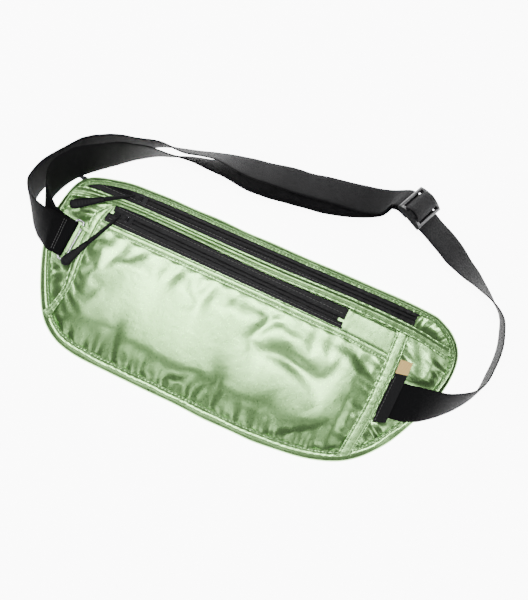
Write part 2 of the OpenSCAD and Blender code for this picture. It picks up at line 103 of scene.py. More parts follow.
def path_length(line):
    return float(np.linalg.norm(np.diff(line, axis=0), axis=1).sum())


def rims(node):
    """The outlines of a flat node's top face, the longest first, anticlockwise."""
    mesh = welded(node)
    top = max(v.co.z for v in mesh.verts)
    flat = {f.index for f in mesh.faces if min(v.co.z for v in f.verts) > top - 1e-5}
    border = [e for e in mesh.edges if sum(f.index in flat for f in e.link_faces) == 1]
    loops = []
    for loop in chains(border):
        x, y = loop[:, 0], loop[:, 1]
        area = (x * np.roll(y, -1) - y * np.roll(x, -1)).sum()
        loops.append(loop if area > 0 else loop[::-1])
    mesh.free()
    return loops


def long_sides(node):
    """The two long sides of a strip-shaped node's top face, run the same way, left to right."""
    loop = rims(node)[0][:, :2]
    ahead = np.roll(loop, -1, 0) - loop
    ahead /= np.linalg.norm(ahead, axis=1)[:, None]
    behind = np.roll(ahead, 1, 0)
    turn = np.abs(np.arctan2(behind[:, 0] * ahead[:, 1] - behind[:, 1] * ahead[:, 0],
                             (behind * ahead).sum(1)))
    corners = sorted(np.argsort(-turn)[:4])
    parts = []
    for first, last in zip(corners, corners[1:] + [corners[0] + len(loop)]):
        parts.append(loop[np.arange(first, last + 1) % len(loop)])
    parts = sorted(parts, key=path_length)[-2:]
    tall = np.ptp(parts[0][:, 1]) > np.ptp(parts[0][:, 0])
    axis = 1 if tall else 0
    parts = [p if p[-1][axis] > p[0][axis] else p[::-1] for p in parts]
    return sorted(parts, key=lambda p: p[:, 1 - axis].mean())


def runs(line):
    """Distance along a line at each of its points."""
    return np.concatenate([[0], np.cumsum(np.linalg.norm(np.diff(line, axis=0), axis=1))])


def points_at(line, distances):
    """Points of a polyline at distances along it."""
    run = runs(line)
    return np.stack([np.interp(distances, run, line[:, k]) for k in range(line.shape[1])], 1)


def even(line, count):
    """The same polyline with evenly spaced points."""
    return points_at(line, np.linspace(0, runs(line)[-1], count))


def ribbon_edges(node, start, count):
    """The edges of a ribbon node as stations [x, y, z, x, y, z], from the end near start."""
    mesh = welded(node)
    sharp = [e for e in mesh.edges if len(e.link_faces) == 2 and e.calc_face_angle() > 0.9]
    valence = {}
    for edge in sharp:
        for v in edge.verts:
            valence[v.index] = valence.get(v.index, 0) + 1
    rungs = [e for e in sharp if e.calc_length() > 20 * MM or (
        e.calc_length() < 1.5 * MM and min(valence[v.index] for v in e.verts) > 2)]
    found = chains([e for e in sharp if e not in rungs])
    mesh.free()
    rails = [r if np.linalg.norm(r[0] - start) < np.linalg.norm(r[-1] - start) else r[::-1]
             for r in found[:4]]
    corner = rails[0][0]
    rails.sort(key=lambda r: np.linalg.norm(r[0] - corner))
    rails = [even(r, count) for r in rails]
    return np.hstack([(rails[0] + rails[1]) / 2, (rails[2] + rails[3]) / 2])


def reached(node, origin, along):
    """A node's vertices, and how far each lies from origin along a direction."""
    points = np.array([v.co for v in nodes[node].data.vertices])
    return points, (points - origin) @ along


def mean_height(node, origin, along, distance, near=1.2 * MM):
    """Mean height of a node's vertices at a distance from origin along a direction."""
    points, reach = reached(node, origin, along)
    return float(points[np.abs(reach - distance) < near][:, 2].mean())


# ---------------------------------------------------------------- curves

def smooth_curve(points, count, closed=False):
    """Points spaced evenly along a smooth curve through the given points."""
    p = np.asarray(points, float)
    spans = len(p) if closed else len(p) - 1
    steps = np.arange(8) / 8

    def at(i):
        return p[i % len(p)] if closed else p[min(max(i, 0), len(p) - 1)]

    fine = []
    for i in range(spans):
        a, b, c, d = at(i - 1), at(i), at(i + 1), at(i + 2)
        for t in steps:
            fine.append(0.5 * (2 * b + (c - a) * t + (2 * a - 5 * b + 4 * c - d) * t * t
                               + (3 * b - a - 3 * c + d) * t ** 3))
    fine.append(at(spans))
    spaced = even(np.array(fine), count + int(closed))
    return spaced[:-1] if closed else spaced


def unit(v):
    v = np.asarray(v, float)
    return v / np.maximum(np.linalg.norm(v, axis=-1, keepdims=True), 1e-12)


def ease(t):
    """0 below 0, 1 above 1, smooth between."""
    t = np.clip(t, 0, 1)
    return t * t * (3 - 2 * t)


def ripples(s, seed, wavelength, waves=5):
    """An uneven ripple of about unit size along s, the same for the same seed."""
    draw = random.Random(seed)
    total = np.zeros_like(s)
    for _ in range(waves):
        length = wavelength * (1 + 0.35 * (2 * draw.random() - 1))
        total = total + np.sin(2 * math.pi * (s / length + draw.random())) * (0.5 + draw.random())
    return total / waves * 1.4


# ---------------------------------------------------------------- meshes

def add_mesh(name, points, faces, material, uv=None, sharp=50):
    mesh = bpy.data.meshes.new(name)
    mesh.from_pydata(np.asarray(points).tolist(), [], faces)
    if uv is not None:
        layer = mesh.uv_layers.new(name="UVMap")
        corner = np.zeros(len(mesh.loops), np.int32)
        mesh.loops.foreach_get("vertex_index", corner)
        layer.data.foreach_set("uv", np.asarray(uv, np.float32)[corner].ravel())
    work = bmesh.new()
    work.from_mesh(mesh)
    bmesh.ops.recalc_face_normals(work, faces=work.faces)
    work.to_mesh(mesh)
    work.free()
    mesh.polygons.foreach_set("use_smooth", [True] * len(mesh.polygons))
    mesh.set_sharp_from_angle(angle=math.radians(sharp))
    mesh.materials.append(material)
    piece = bpy.data.objects.new(name, mesh)
    bpy.context.scene.collection.objects.link(piece)
    return piece


def loft(name, sections, material, closed=False, uv=None, sharp=50):
    """A closed skin through a row of closed sections with the same number of points each."""
    count, around = sections.shape[:2]
    index = np.arange(count * around).reshape(count, around)
    faces = []
    for i in range(count if closed else count - 1):
        a, b = index[i].tolist(), index[(i + 1) % count].tolist()
        faces += [(a[j], a[(j + 1) % around], b[(j + 1) % around], b[j])
                  for j in range(around)]
    if not closed:
        faces += [tuple(index[0].tolist()[::-1]), tuple(index[-1].tolist())]
    flat_uv = None if uv is None else uv.reshape(-1, 2)
    return add_mesh(name, sections.reshape(-1, 3), faces, material, flat_uv, sharp)


def sheet(name, top, low, material, sharp=60):
    """A closed sheet between a grid of top points and a grid of low points."""
    return loft(name, np.concatenate([top, low[:, ::-1]], axis=1), material, sharp=sharp)


def merged(name, parts, material, sharp=50):
    """One mesh from many closed skins, each a pair of points and faces."""
    points, faces = [], []
    for part_points, part_faces in parts:
        shift = len(points)
        points += list(part_points)
        faces += [tuple(i + shift for i in face) for face in part_faces]
    return add_mesh(name, points, faces, material, sharp=sharp)


def tube_part(line, radius, around=6, up=UP):
    """Points and faces of a closed round tube along a short line."""
    line = np.asarray(line, float)
    along = unit(np.gradient(line, axis=0))
    side = unit(np.cross(along, up))
    over = np.cross(side, along)
    radius = np.broadcast_to(radius, len(line))[:, None, None]
    angle = 2 * math.pi * np.arange(around) / around
    ring = (side[:, None] * np.cos(angle)[:, None] + over[:, None] * np.sin(angle)[:, None])
    points = (line[:, None] + radius * ring).reshape(-1, 3)
    faces = []
    for i in range(len(line) - 1):
        a = i * around
        faces += [(a + j, a + (j + 1) % around, a + around + (j + 1) % around, a + around + j)
                  for j in range(around)]
    last = (len(line) - 1) * around
    faces += [tuple(range(around))[::-1], tuple(range(last, last + around))]
    return points.tolist(), faces


STITCH = 2.5 * MM
THREAD = 0.29 * MM


def stitch_row(name, line, material, body, pitch=STITCH, lift=0.0):
    """A row of lockstitches along a line that lies on a surface."""
    t = np.linspace(0, 1, 5)
    arch = np.sin(math.pi * t)
    parts = []
    for i in range(int(runs(line)[-1] / pitch)):
        points = points_at(line, (i + 0.1 + 0.8 * t) * pitch)
        points[:, 2] += lift + THREAD * (1.5 * arch - 0.7)
        parts.append(tube_part(points, THREAD * (0.75 + 0.25 * arch)))
    settle(merged(name, parts, material), body)


# ---------------------------------------------------------------- materials

SPECULAR = "Specular IOR Level"


def start_material(slot):
    material = bpy.data.materials.new(slot)
    material.use_nodes = True
    material["slot"] = slot
    tree = material.node_tree
    return material, tree, tree.nodes["Principled BSDF"]


def node(tree, kind, values=None, **settings):
    made = tree.nodes.new(kind)
    for key, value in settings.items():
        setattr(made, key, value)
    for key, value in (values or {}).items():
        made.inputs[key].default_value = value
    return made


def place(tree, source="Object", stretch=(1, 1, 1), turn=0.0):
    """Texture coordinates, scaled and turned about Z."""
    coordinates = node(tree, "ShaderNodeTexCoord")
    mapping = node(tree, "ShaderNodeMapping", {"Scale": stretch, "Rotation": (0, 0, turn)})
    tree.links.new(coordinates.outputs[source], mapping.inputs["Vector"])
    return mapping.outputs["Vector"]


def noise(tree, vector, size, detail=3.0, roughness=0.55):
    """Noise whose features are about size across."""
    made = node(tree, "ShaderNodeTexNoise",
                {"Scale": 1 / size, "Detail": detail, "Roughness": roughness})
    tree.links.new(vector, made.inputs["Vector"])
    return made.outputs["Fac"]


def stripes(tree, vector, pitch, direction="X", distortion=0.0):
    """A smooth stripe every pitch along one direction."""
    made = node(tree, "ShaderNodeTexWave", {"Scale": math.pi / 10 / pitch,
                                            "Distortion": distortion, "Detail": 1.0},
                bands_direction=direction)
    tree.links.new(vector, made.inputs["Vector"])
    return made.outputs["Fac"]


def maths(tree, operation, a, b):
    made = node(tree, "ShaderNodeMath", operation=operation)
    for slot, value in enumerate((a, b)):
        if isinstance(value, (int, float)):
            made.inputs[slot].default_value = value
        else:
            tree.links.new(value, made.inputs[slot])
    return made.outputs[0]


def spread(tree, factor, low, high):
    """A factor from 0 to 1 carried to low to high."""
    made = node(tree, "ShaderNodeMapRange", {"To Min": low, "To Max": high})
    tree.links.new(factor, made.inputs["Value"])
    return made.outputs["Result"]


def ramp(tree, factor, stops):
    made = node(tree, "ShaderNodeValToRGB")
    elements = made.color_ramp.elements
    while len(elements) < len(stops):
        elements.new(0.5)
    for element, (position, colour) in zip(elements, stops):
        element.position = position
        element.color = (*colour, 1)
    tree.links.new(factor, made.inputs["Fac"])
    return made.outputs["Color"]


def mix(tree, factor, a, b, kind="MIX"):
    made = node(tree, "ShaderNodeMix", data_type="RGBA", blend_type=kind)
    if isinstance(factor, (int, float)):
        made.inputs["Factor"].default_value = factor
    else:
        tree.links.new(factor, made.inputs["Factor"])
    for name, value in (("A", a), ("B", b)):
        socket = [s for s in made.inputs if s.name == name and s.type == "RGBA"][0]
        if isinstance(value, tuple):
            socket.default_value = (*value, 1)
        else:
            tree.links.new(value, socket)
    return [s for s in made.outputs if s.type == "RGBA"][0]


def bump(tree, shader, heights, last=None):
    """Chains bumps: each height is (factor, depth in metres)."""
    for factor, depth in heights:
        made = node(tree, "ShaderNodeBump", {"Strength": 1.0, "Distance": depth})
        tree.links.new(factor, made.inputs["Height"])
        if last is not None:
            tree.links.new(last, made.inputs["Normal"])
        last = made.outputs["Normal"]
    tree.links.new(last, shader.inputs["Normal"])


def finish_material(parts, colour, roughness, heights, levels=None):
    """Wires colour, roughness and bumps into a shader; levels are its other inputs."""
    material, tree, shader = parts
    tree.links.new(colour, shader.inputs["Base Color"])
    if isinstance(roughness, float):
        shader.inputs["Roughness"].default_value = roughness
    else:
        tree.links.new(roughness, shader.inputs["Roughness"])
    for name, value in (levels or {}).items():
        shader.inputs[name].default_value = value
    bump(tree, shader, heights)
    return material


def silk_material():
    """Mint satin: pale threads on a deeper green ground, long floats, a broad soft lustre."""
    parts = start_material("silk")
    _, tree, _ = parts
    here = place(tree)
    broad = noise(tree, here, 40 * MM, 2)
    grain = noise(tree, place(tree, stretch=(1, 0.45, 1)), 0.9 * MM, 4, 0.7)
    colour = ramp(tree, broad, [(0.3, (0.145, 0.295, 0.095)), (0.7, (0.19, 0.36, 0.13))])
    colour = mix(tree, spread(tree, grain, 0.0, 0.5), colour, (0.35, 0.58, 0.25))
    warp = stripes(tree, here, 0.36 * MM, "X", 0.6)
    weft = stripes(tree, here, 0.5 * MM, "Y", 0.6)
    heights = [(noise(tree, here, 5 * MM, 3), 0.10 * MM),
               (maths(tree, "MULTIPLY", warp, weft), 0.010 * MM), (grain, 0.03 * MM)]
    return finish_material(parts, colour, spread(tree, grain, 0.22, 0.36), heights, {
        "Metallic": 0.88, "Anisotropic": 0.3, "Sheen Weight": 0.03, "Sheen Roughness": 0.4,
        "Sheen Tint": (0.85, 1.0, 0.8, 1)})


def thread_material(name, slot, dark, pale):
    """Sewing thread, which takes the slot of the cloth or tape that it is sewn in."""
    parts = start_material(name)
    material, tree, _ = parts
    material["slot"] = slot
    ply = noise(tree, place(tree), 0.25 * MM, 2)
    return finish_material(parts, mix(tree, ply, dark, pale), 0.55, [(ply, 0.05 * MM)])


def tape_material():
    """Charcoal zip tape with a smooth coated face over a fine twill."""
    parts = start_material("zip_tape")
    _, tree, _ = parts
    here = place(tree)
    fine = noise(tree, here, 0.6 * MM, 3)
    ribs = stripes(tree, here, 0.7 * MM, "Y", 0.4)
    twill = stripes(tree, here, 0.6 * MM, "DIAGONAL")
    colour = mix(tree, fine, (0.0012, 0.0013, 0.0015), (0.0045, 0.0048, 0.0052))
    heights = [(ribs, 0.04 * MM), (twill, 0.02 * MM), (fine, 0.03 * MM)]
    return finish_material(parts, colour, spread(tree, fine, 0.32, 0.52), heights, {SPECULAR: 0.12})


def coil_material():
    """Moulded coil teeth with a few scuffs."""
    parts = start_material("zip_coil")
    _, tree, _ = parts
    teeth = stripes(tree, place(tree), 1.3 * MM, "X")
    scuffs = noise(tree, place(tree), 1.2 * MM)
    colour = mix(tree, scuffs, (0.012, 0.012, 0.014), (0.04, 0.04, 0.045))
    heights = [(teeth, 0.25 * MM), (scuffs, 0.02 * MM)]
    return finish_material(parts, colour, spread(tree, scuffs, 0.25, 0.45), heights)


def webbing_material():
    """Near-black webbing: fine cross ribs, lengthwise warp ends, a firm selvedge, matt."""
    parts = start_material("webbing")
    _, tree, _ = parts
    ends = place(tree, "UV")
    ribs = stripes(tree, ends, 0.9 * MM, "X", 0.5)
    warp = stripes(tree, ends, 0.55 * MM, "Y", 0.5)
    fuzz = noise(tree, ends, 0.5 * MM, 4, 0.7)
    wear = noise(tree, place(tree), 18 * MM, 3)
    colour = mix(tree, fuzz, (0.0015, 0.0015, 0.0018), (0.007, 0.007, 0.0075))
    colour = mix(tree, spread(tree, wear, 0.0, 0.35), colour, (0.006, 0.006, 0.0065))
    heights = [(ribs, 0.10 * MM), (warp, 0.06 * MM), (fuzz, 0.05 * MM)]
    return finish_material(parts, colour, spread(tree, fuzz, 0.62, 0.85), heights, {SPECULAR: 0.05})


def steel_material():
    """Bright drawn wire with fine lengthwise lines."""
    parts = start_material("steel")
    _, tree, _ = parts
    lines = noise(tree, place(tree, stretch=(1, 0.05, 1)), 0.25 * MM, 3)
    colour = mix(tree, lines, (0.30, 0.31, 0.33), (0.52, 0.53, 0.55))
    return finish_material(parts, colour, spread(tree, lines, 0.16, 0.36), [(lines, 0.01 * MM)],
                           {"Metallic": 1.0})


def moulded_material(slot, low, high, rough, grain_depth, edge=None):
    """Enamel, moulded plastic or rubber: fine grain, uneven gloss, an optional painted highlight on
    sharp edges.
    """
    parts = start_material(slot)
    _, tree, _ = parts
    here = place(tree)
    grain = noise(tree, here, 0.35 * MM, 4, 0.65)
    cloud = noise(tree, here, 6 * MM, 3)
    colour = mix(tree, cloud, low, high)
    if edge is not None:
        # Painted highlight: sharp convex edges are coloured lighter, where rounded edges would
        # catch the light.
        corner = node(tree, "ShaderNodeNewGeometry").outputs["Pointiness"]
        painted_edge_highlight = ramp(tree, corner, [(0.54, (0, 0, 0)), (0.66, (1, 1, 1))])
        colour = mix(tree, painted_edge_highlight, colour, edge)
    return finish_material(parts, colour, spread(tree, grain, *rough), [(grain, grain_depth)],
                           {SPECULAR: 0.12})


def cord_material():
    """Matt cord fibre."""
    parts = start_material("pull_cord")
    _, tree, _ = parts
    fibre = noise(tree, place(tree), 0.2 * MM, 3, 0.7)
    colour = mix(tree, fibre, (0.002, 0.002, 0.0025), (0.010, 0.010, 0.011))
    return finish_material(parts, colour, 0.68, [(fibre, 0.05 * MM)], {SPECULAR: 0.2})


def label_material(slot, low, high, pitch):
    """A woven ribbon: cross ribs over fine lengthwise ends."""
    parts = start_material(slot)
    _, tree, _ = parts
    here = place(tree)
    ribs = stripes(tree, here, pitch, "Y", 0.3)
    ends = stripes(tree, here, pitch * 0.7, "X", 0.3)
    fuzz = noise(tree, here, 0.4 * MM, 3)
    colour = mix(tree, maths(tree, "MULTIPLY", ribs, spread(tree, fuzz, 0.5, 1)), low, high)
    heights = [(ribs, 0.08 * MM), (ends, 0.04 * MM), (fuzz, 0.03 * MM)]
    return finish_material(parts, colour, spread(tree, fuzz, 0.6, 0.8), heights, {SPECULAR: 0.2})


silk = silk_material()
thread = thread_material("thread", "silk", (0.05, 0.12, 0.035), (0.15, 0.28, 0.10))
black = thread_material("black_thread", "zip_tape", (0.02, 0.02, 0.02), (0.06, 0.06, 0.06))
tape = tape_material()
coil = coil_material()
web = webbing_material()
steel = steel_material()
enamel = moulded_material("slider_metal", (0.003, 0.003, 0.0035), (0.009, 0.009, 0.010),
                          (0.45, 0.62), 0.02 * MM, edge=(0.02, 0.02, 0.022))
plastic = moulded_material("adjuster_plastic", (0.003, 0.003, 0.0035), (0.009, 0.009, 0.010),
                           (0.34, 0.5), 0.03 * MM, edge=(0.03, 0.03, 0.032))
rubber = moulded_material("pull_grip", (0.002, 0.002, 0.0025), (0.007, 0.007, 0.008),
                          (0.45, 0.65), 0.05 * MM)
cord = cord_material()
label_black = label_material("label_black", (0.002, 0.002, 0.0025), (0.010, 0.010, 0.011), 0.5 * MM)
label_tan = label_material("label_tan", (0.54, 0.35, 0.11), (0.80, 0.57, 0.24), 0.8 * MM)


def settle(piece, body, *replaced):
    """Rides a finished piece on its body and hides the nodes it stands for."""
    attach(piece, body)
    mark(piece, *replaced)


def mark(piece, *replaced):
    """Hides the nodes that a piece stands for."""
    if replaced:
        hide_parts(*replaced)


def bevelled(name, material, width, segments=3):
    """Gives a CAD node its material and softens its edges."""
    piece = nodes[name]
    piece.data.materials.clear()
    piece.data.materials.append(material)
    weld = piece.modifiers.new("weld", "WELD")
    weld.merge_threshold = 0.001 * MM
    edge = piece.modifiers.new("edges", "BEVEL")
    edge.width = width
    edge.segments = segments
    edge.limit_method = "ANGLE"
    edge.angle_limit = math.radians(35)


# ---------------------------------------------------------------- the pouch's plan

BINDING = [loop[:, :2] for loop in rims("edge_binding")[:2]]
OUTER = smooth_curve(BINDING[0], 900, closed=True)
INNER = smooth_curve(BINDING[1], 900, closed=True)
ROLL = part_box("edge_binding")[1].z
TRIM_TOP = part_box("middle_band")[1].z


def inwards(line, closed=True):
    """Unit normals in plan, to the left of the direction the line runs in."""
    if closed:
        ahead = np.roll(line, -1, 0) - np.roll(line, 1, 0)
    else:
        ahead = np.gradient(line, axis=0)
    ahead = unit(ahead)
    return np.stack([-ahead[:, 1], ahead[:, 0]], 1)


def stretch_of_outline(start, end, inset, count):
    """The outline between the points nearest start and end, the short way, drawn in."""
    drawn = OUTER + inwards(OUTER) * inset
    first = int(np.argmin(np.linalg.norm(drawn - start, axis=1)))
    last = int(np.argmin(np.linalg.norm(drawn - end, axis=1)))
    ahead = (last - first) % len(drawn)
    if ahead <= len(drawn) / 2:
        index = np.arange(first, first + ahead + 1)
    else:
        index = np.arange(first, first - (len(drawn) - ahead) - 1, -1)
    return smooth_curve(drawn[index % len(drawn)], count)


def ruled(a, b, across):
    """A grid of plan points from edge a to edge b."""
    t = np.linspace(0, 1, across)[None, :, None]
    return a[:, None] * (1 - t) + b[:, None] * t


def with_height(plan, z):
    return np.concatenate([plan, np.broadcast_to(z, plan.shape[:2])[..., None]], 2)


def seam(d, s, row, depth=0.55 * MM, pitch=STITCH):
    """The dent that a stitch row pulls into cloth, deepest at each needle hole."""
    return depth * np.exp(-((d - row) / (0.65 * MM)) ** 2) * (
        0.58 + 0.42 * np.cos(2 * math.pi * s / pitch))


def build_binding():
    """The rolled edge: one closed C-shaped section carried round the pouch."""
    inward = inwards(OUTER)
    s = runs(np.vstack([OUTER, OUTER[:1]]))[:-1]
    width = np.array([np.linalg.norm(INNER - p, axis=1).min() for p in OUTER])
    row = width - 1.3 * MM
    sway = 0.22 * MM * ripples(s, 11, 46 * MM)
    crown = 0.28 * MM * ripples(s, 12, 30 * MM)
    gather = ripples(s, 13, 6.5 * MM)
    round_r = 2.4 * MM
    # Each entry is a distance in from the outline and a height: the under side first.
    skin = []
    for share in (1, 0.82, 0.6, 0.35):
        skin.append((width * share + (1 - share) * round_r, 0.0))
    # The rolled outer side.
    for angle in np.radians(np.arange(-90, 91, 22.5)):
        d = round_r * (1 - math.cos(angle))
        z = ROLL / 2 + (ROLL / 2 + 0.15 * MM) * math.sin(angle)
        skin.append((d + sway * math.cos(angle), z + crown * max(0, math.sin(angle))))
    # Over the top to the stitch row, the dent at the row, and the folded inner edge.
    for share in (0.2, 0.4, 0.6, 0.8):
        d = round_r + (row - round_r - 0.6 * MM) * share
        lift = 0.55 * MM * math.sin(math.pi * (0.2 + share * 0.75))
        pull = 0.20 * MM * gather * share ** 2
        skin.append((d, ROLL + lift + crown * (1 - share) + pull))
    for offset in (-0.6, -0.2, 0.2, 0.6):
        d = row + offset * MM
        z = ROLL + 0.06 * MM - seam(d, s, row, 0.5 * MM) + 0.16 * MM * gather
        skin.append((d, z))
    skin.append((width - 0.25 * MM, ROLL - 0.02 * MM + 0.14 * MM * gather))
    skin.append((width, ROLL - 0.35 * MM + 0.10 * MM * gather))
    # Back along the inside of the C.
    skin += [(width, ROLL - 0.75 * MM), (width - 1.4 * MM, ROLL - 0.8 * MM),
             (2.4 * MM, ROLL - 0.8 * MM), (1.3 * MM, ROLL / 2), (2.4 * MM, 0.75 * MM),
             (width, 0.7 * MM)]
    d = np.stack([np.broadcast_to(p[0], s.shape) for p in skin], 1)
    z = np.stack([np.broadcast_to(p[1], s.shape) for p in skin], 1)
    plan = OUTER[:, None] + inward[:, None] * d[..., None]
    piece = loft("binding", with_height(plan, z), silk, closed=True)
    settle(piece, "pouch", "edge_binding")
    line = OUTER + inward * row[:, None]
    height = ROLL - 0.18 * MM + 0.16 * MM * gather
    stitch_row("binding_stitches", np.column_stack([line, height]), thread, "pouch")


def build_disc(name, loop, top, low, material, rings=26):
    """A closed sheet inside a loop that can be seen whole from its middle."""
    centre = loop.mean(0)
    share = np.linspace(0, 1, rings + 1)[1:]
    plan = centre + (loop[None] - centre) * share[:, None, None]
    count = len(loop)
    upper = with_height(plan, top(plan)).reshape(-1, 3)
    lower = with_height(plan, low(plan)).reshape(-1, 3)
    middle = centre[None, None]
    points = np.vstack([upper, lower, [[*centre, float(top(middle)[0, 0])]],
                        [[*centre, float(low(middle)[0, 0])]]])
    faces = []
    total = rings * count
    for j in range(count):
        k = (j + 1) % count
        faces += [(2 * total, j, k), (2 * total + 1, total + k, total + j)]
        for i in range(rings - 1):
            a, b = i * count, (i + 1) * count
            faces.append((a + j, b + j, b + k, a + k))
            faces.append((total + a + k, total + b + k, total + b + j, total + a + j))
        last = (rings - 1) * count
        faces.append((last + j, total + last + j, total + last + k, last + k))
    return add_mesh(name, points, faces, material)


def build_back():
    """The back panel: flat on its face, a little slack in the cloth."""
    loop = OUTER[::4] + inwards(OUTER)[::4] * 1.7 * MM

    def slack(plan):
        x, y = plan[..., 0], plan[..., 1]
        wave = ripples(x * 0.8 + y * 0.5, 21, 38 * MM) * ripples(y * 0.9 - x * 0.2, 22, 30 * MM)
        return 0.28 * MM * wave

    low = build_disc("back_cloth", loop, lambda p: 1.15 * MM + slack(p) * 0.5,
                     lambda p: 0.32 * MM + slack(p), silk)
    settle(low, "pouch", "back_panel")


def window(value, low, high, soft):
    """1 between low and high, easing to 0 over soft on each side."""
    return ease((value - low) / soft + 1) * ease((high - value) / soft + 1)


def wing(name, outline_edge, trim_edge, strap_zone, seed):
    """Cloth between the binding and a trim: it climbs to the trim and puckers at both seams."""
    plan = ruled(outline_edge, trim_edge, 40)
    s = runs(outline_edge)[:, None] + 0 * plan[..., 0]
    reach = np.linalg.norm(plan - outline_edge[:, None], axis=2)
    back = np.linalg.norm(plan - trim_edge[:, None], axis=2)
    y = plan[..., 1]
    free = 1 - 0.85 * window(y, *strap_zone, 6 * MM)
    z = 4.3 * MM + free * 2.1 * MM * ease((reach - 4 * MM) / (9 * MM))
    z += free * 0.55 * MM * np.exp(-(reach - 6 * MM).clip(0) / (7 * MM)) * ripples(
        s + 0.25 * reach, seed, 8.5 * MM)
    z += free * 0.5 * MM * np.exp(-(back - 4 * MM).clip(0) / (7 * MM)) * ripples(
        s - 0.3 * back, seed + 1, 10 * MM)
    z += free * 0.35 * MM * ripples(reach + 0.5 * s, seed + 2, 17 * MM)
    z = np.minimum(z, 6.85 * MM)
    settle(sheet(name, with_height(plan, z), with_height(plan, z - 0.4 * MM), silk), "pouch")


def strip(name, sides, top, material, rows=(), crown=0.3, ridge=None, seed=30, thick=0.55,
          across=23, cad=None, stitches=thread, dent=0.55):
    """A sewn strip between two sides: rolled edges, stitch dents and a little gather."""
    count = int(path_length(sides[0]) / (1.1 * MM))
    a, b = smooth_curve(sides[0], count), smooth_curve(sides[1], count)
    plan = ruled(a, b, across)
    s = runs((a + b) / 2)[:, None] + 0 * plan[..., 0]
    low_d = np.linalg.norm(plan - a[:, None], axis=2)
    high_d = np.linalg.norm(plan - b[:, None], axis=2)
    edge = np.minimum(low_d, high_d)
    z = top + crown * MM * (1 - np.exp(-edge / (1.2 * MM)))
    z -= 0.3 * MM * np.exp(-edge / (0.35 * MM))
    z += 0.16 * MM * ripples(s, seed, 5.5 * MM) * np.exp(-edge / (2.5 * MM))
    z += 0.10 * MM * ripples(s + low_d, seed + 1, 26 * MM)
    if ridge is not None:
        where = np.linalg.norm(b - a, axis=1)[:, None] * ridge
        z += 0.35 * MM * np.exp(-((low_d - where) / (1.0 * MM)) ** 2)
        z -= 0.15 * MM * np.exp(-((low_d - where + 1.6 * MM) / (0.7 * MM)) ** 2)
    for row in rows:
        d = low_d if row > 0 else high_d
        z -= seam(d, s, abs(row) * MM, dent * MM)
    piece = sheet(name, with_height(plan, z), with_height(plan, z - thick * MM), material)
    settle(piece, "pouch", *([cad] if cad else []))
    for number, row in enumerate(rows):
        side, other = (a, b) if row > 0 else (b, a)
        line = side + unit(other - side) * abs(row) * MM
        share = np.linalg.norm(line - a, axis=1) / np.linalg.norm(b - a, axis=1)
        height = [np.interp(t, np.linspace(0, 1, across), z[i]) for i, t in enumerate(share)]
        line = np.column_stack([line, height])[2:-2]
        stitch_row(f"{name}_stitches_{number}", line, stitches, "pouch", lift=0.1 * MM)


def trim_middle(name):
    a, b = long_sides(name)
    return (smooth_curve(a, 60) + smooth_curve(b, 60)) / 2


def hem_line():
    """The front pocket's upper edge, just over the lower zip tape and the end patch."""
    tape_low = long_sides("lower_zip_tape_bottom")[0]
    patch_low = long_sides("zip_end_patch")[0][:2]
    left = trim_middle("left_trim")
    right = trim_middle("right_trim")
    line = np.vstack([tape_low, patch_low])
    line = line[np.argsort(line[:, 0])] + [0, 0.9 * MM]
    ends = [left[:, 0].max() - 9 * MM, right[:, 0].max() - 3 * MM]
    x = np.linspace(*ends, 80)
    return np.column_stack([x, np.interp(x, line[:, 0], line[:, 1])])


def crease(plan, start, end, width, depth, skew=0.0):
    """A fold between two plan points in millimetres: a ridge when depth is above 0."""
    p, q = np.array(start) * MM, np.array(end) * MM
    along = unit(q - p)
    side = np.array([-along[1], along[0]])
    length = np.linalg.norm(q - p)
    rel = plan - p
    u = (rel @ along) / length
    v = (rel @ side) / (width * MM) - skew * np.sin(math.pi * np.clip(u, 0, 1))
    fade = np.sin(math.pi * np.clip(u, 0, 1)) ** 0.7
    return depth * MM * fade * np.exp(-v * v) * (1 - 0.35 * v)


def random_folds(plan, seed, count, low, high):
    """Many short uneven folds scattered over a rectangle, in millimetres."""
    draw = random.Random(seed)
    total = np.zeros(plan.shape[:2])
    for _ in range(count):
        x = draw.uniform(low[0], high[0])
        y = draw.uniform(low[1], high[1])
        angle = math.radians(draw.gauss(-14, 34))
        reach = draw.uniform(12, 34)
        start = (x - reach * math.cos(angle), y - reach * math.sin(angle))
        end = (x + reach * math.cos(angle), y + reach * math.sin(angle))
        depth = draw.choice((-1, 1)) * draw.uniform(0.15, 0.5)
        total += crease(plan, start, end, draw.uniform(2.5, 7), depth, draw.uniform(-0.6, 0.6))
    return total


CLOTH_SCALE = 10  # the simulation is steadier on a larger sheet


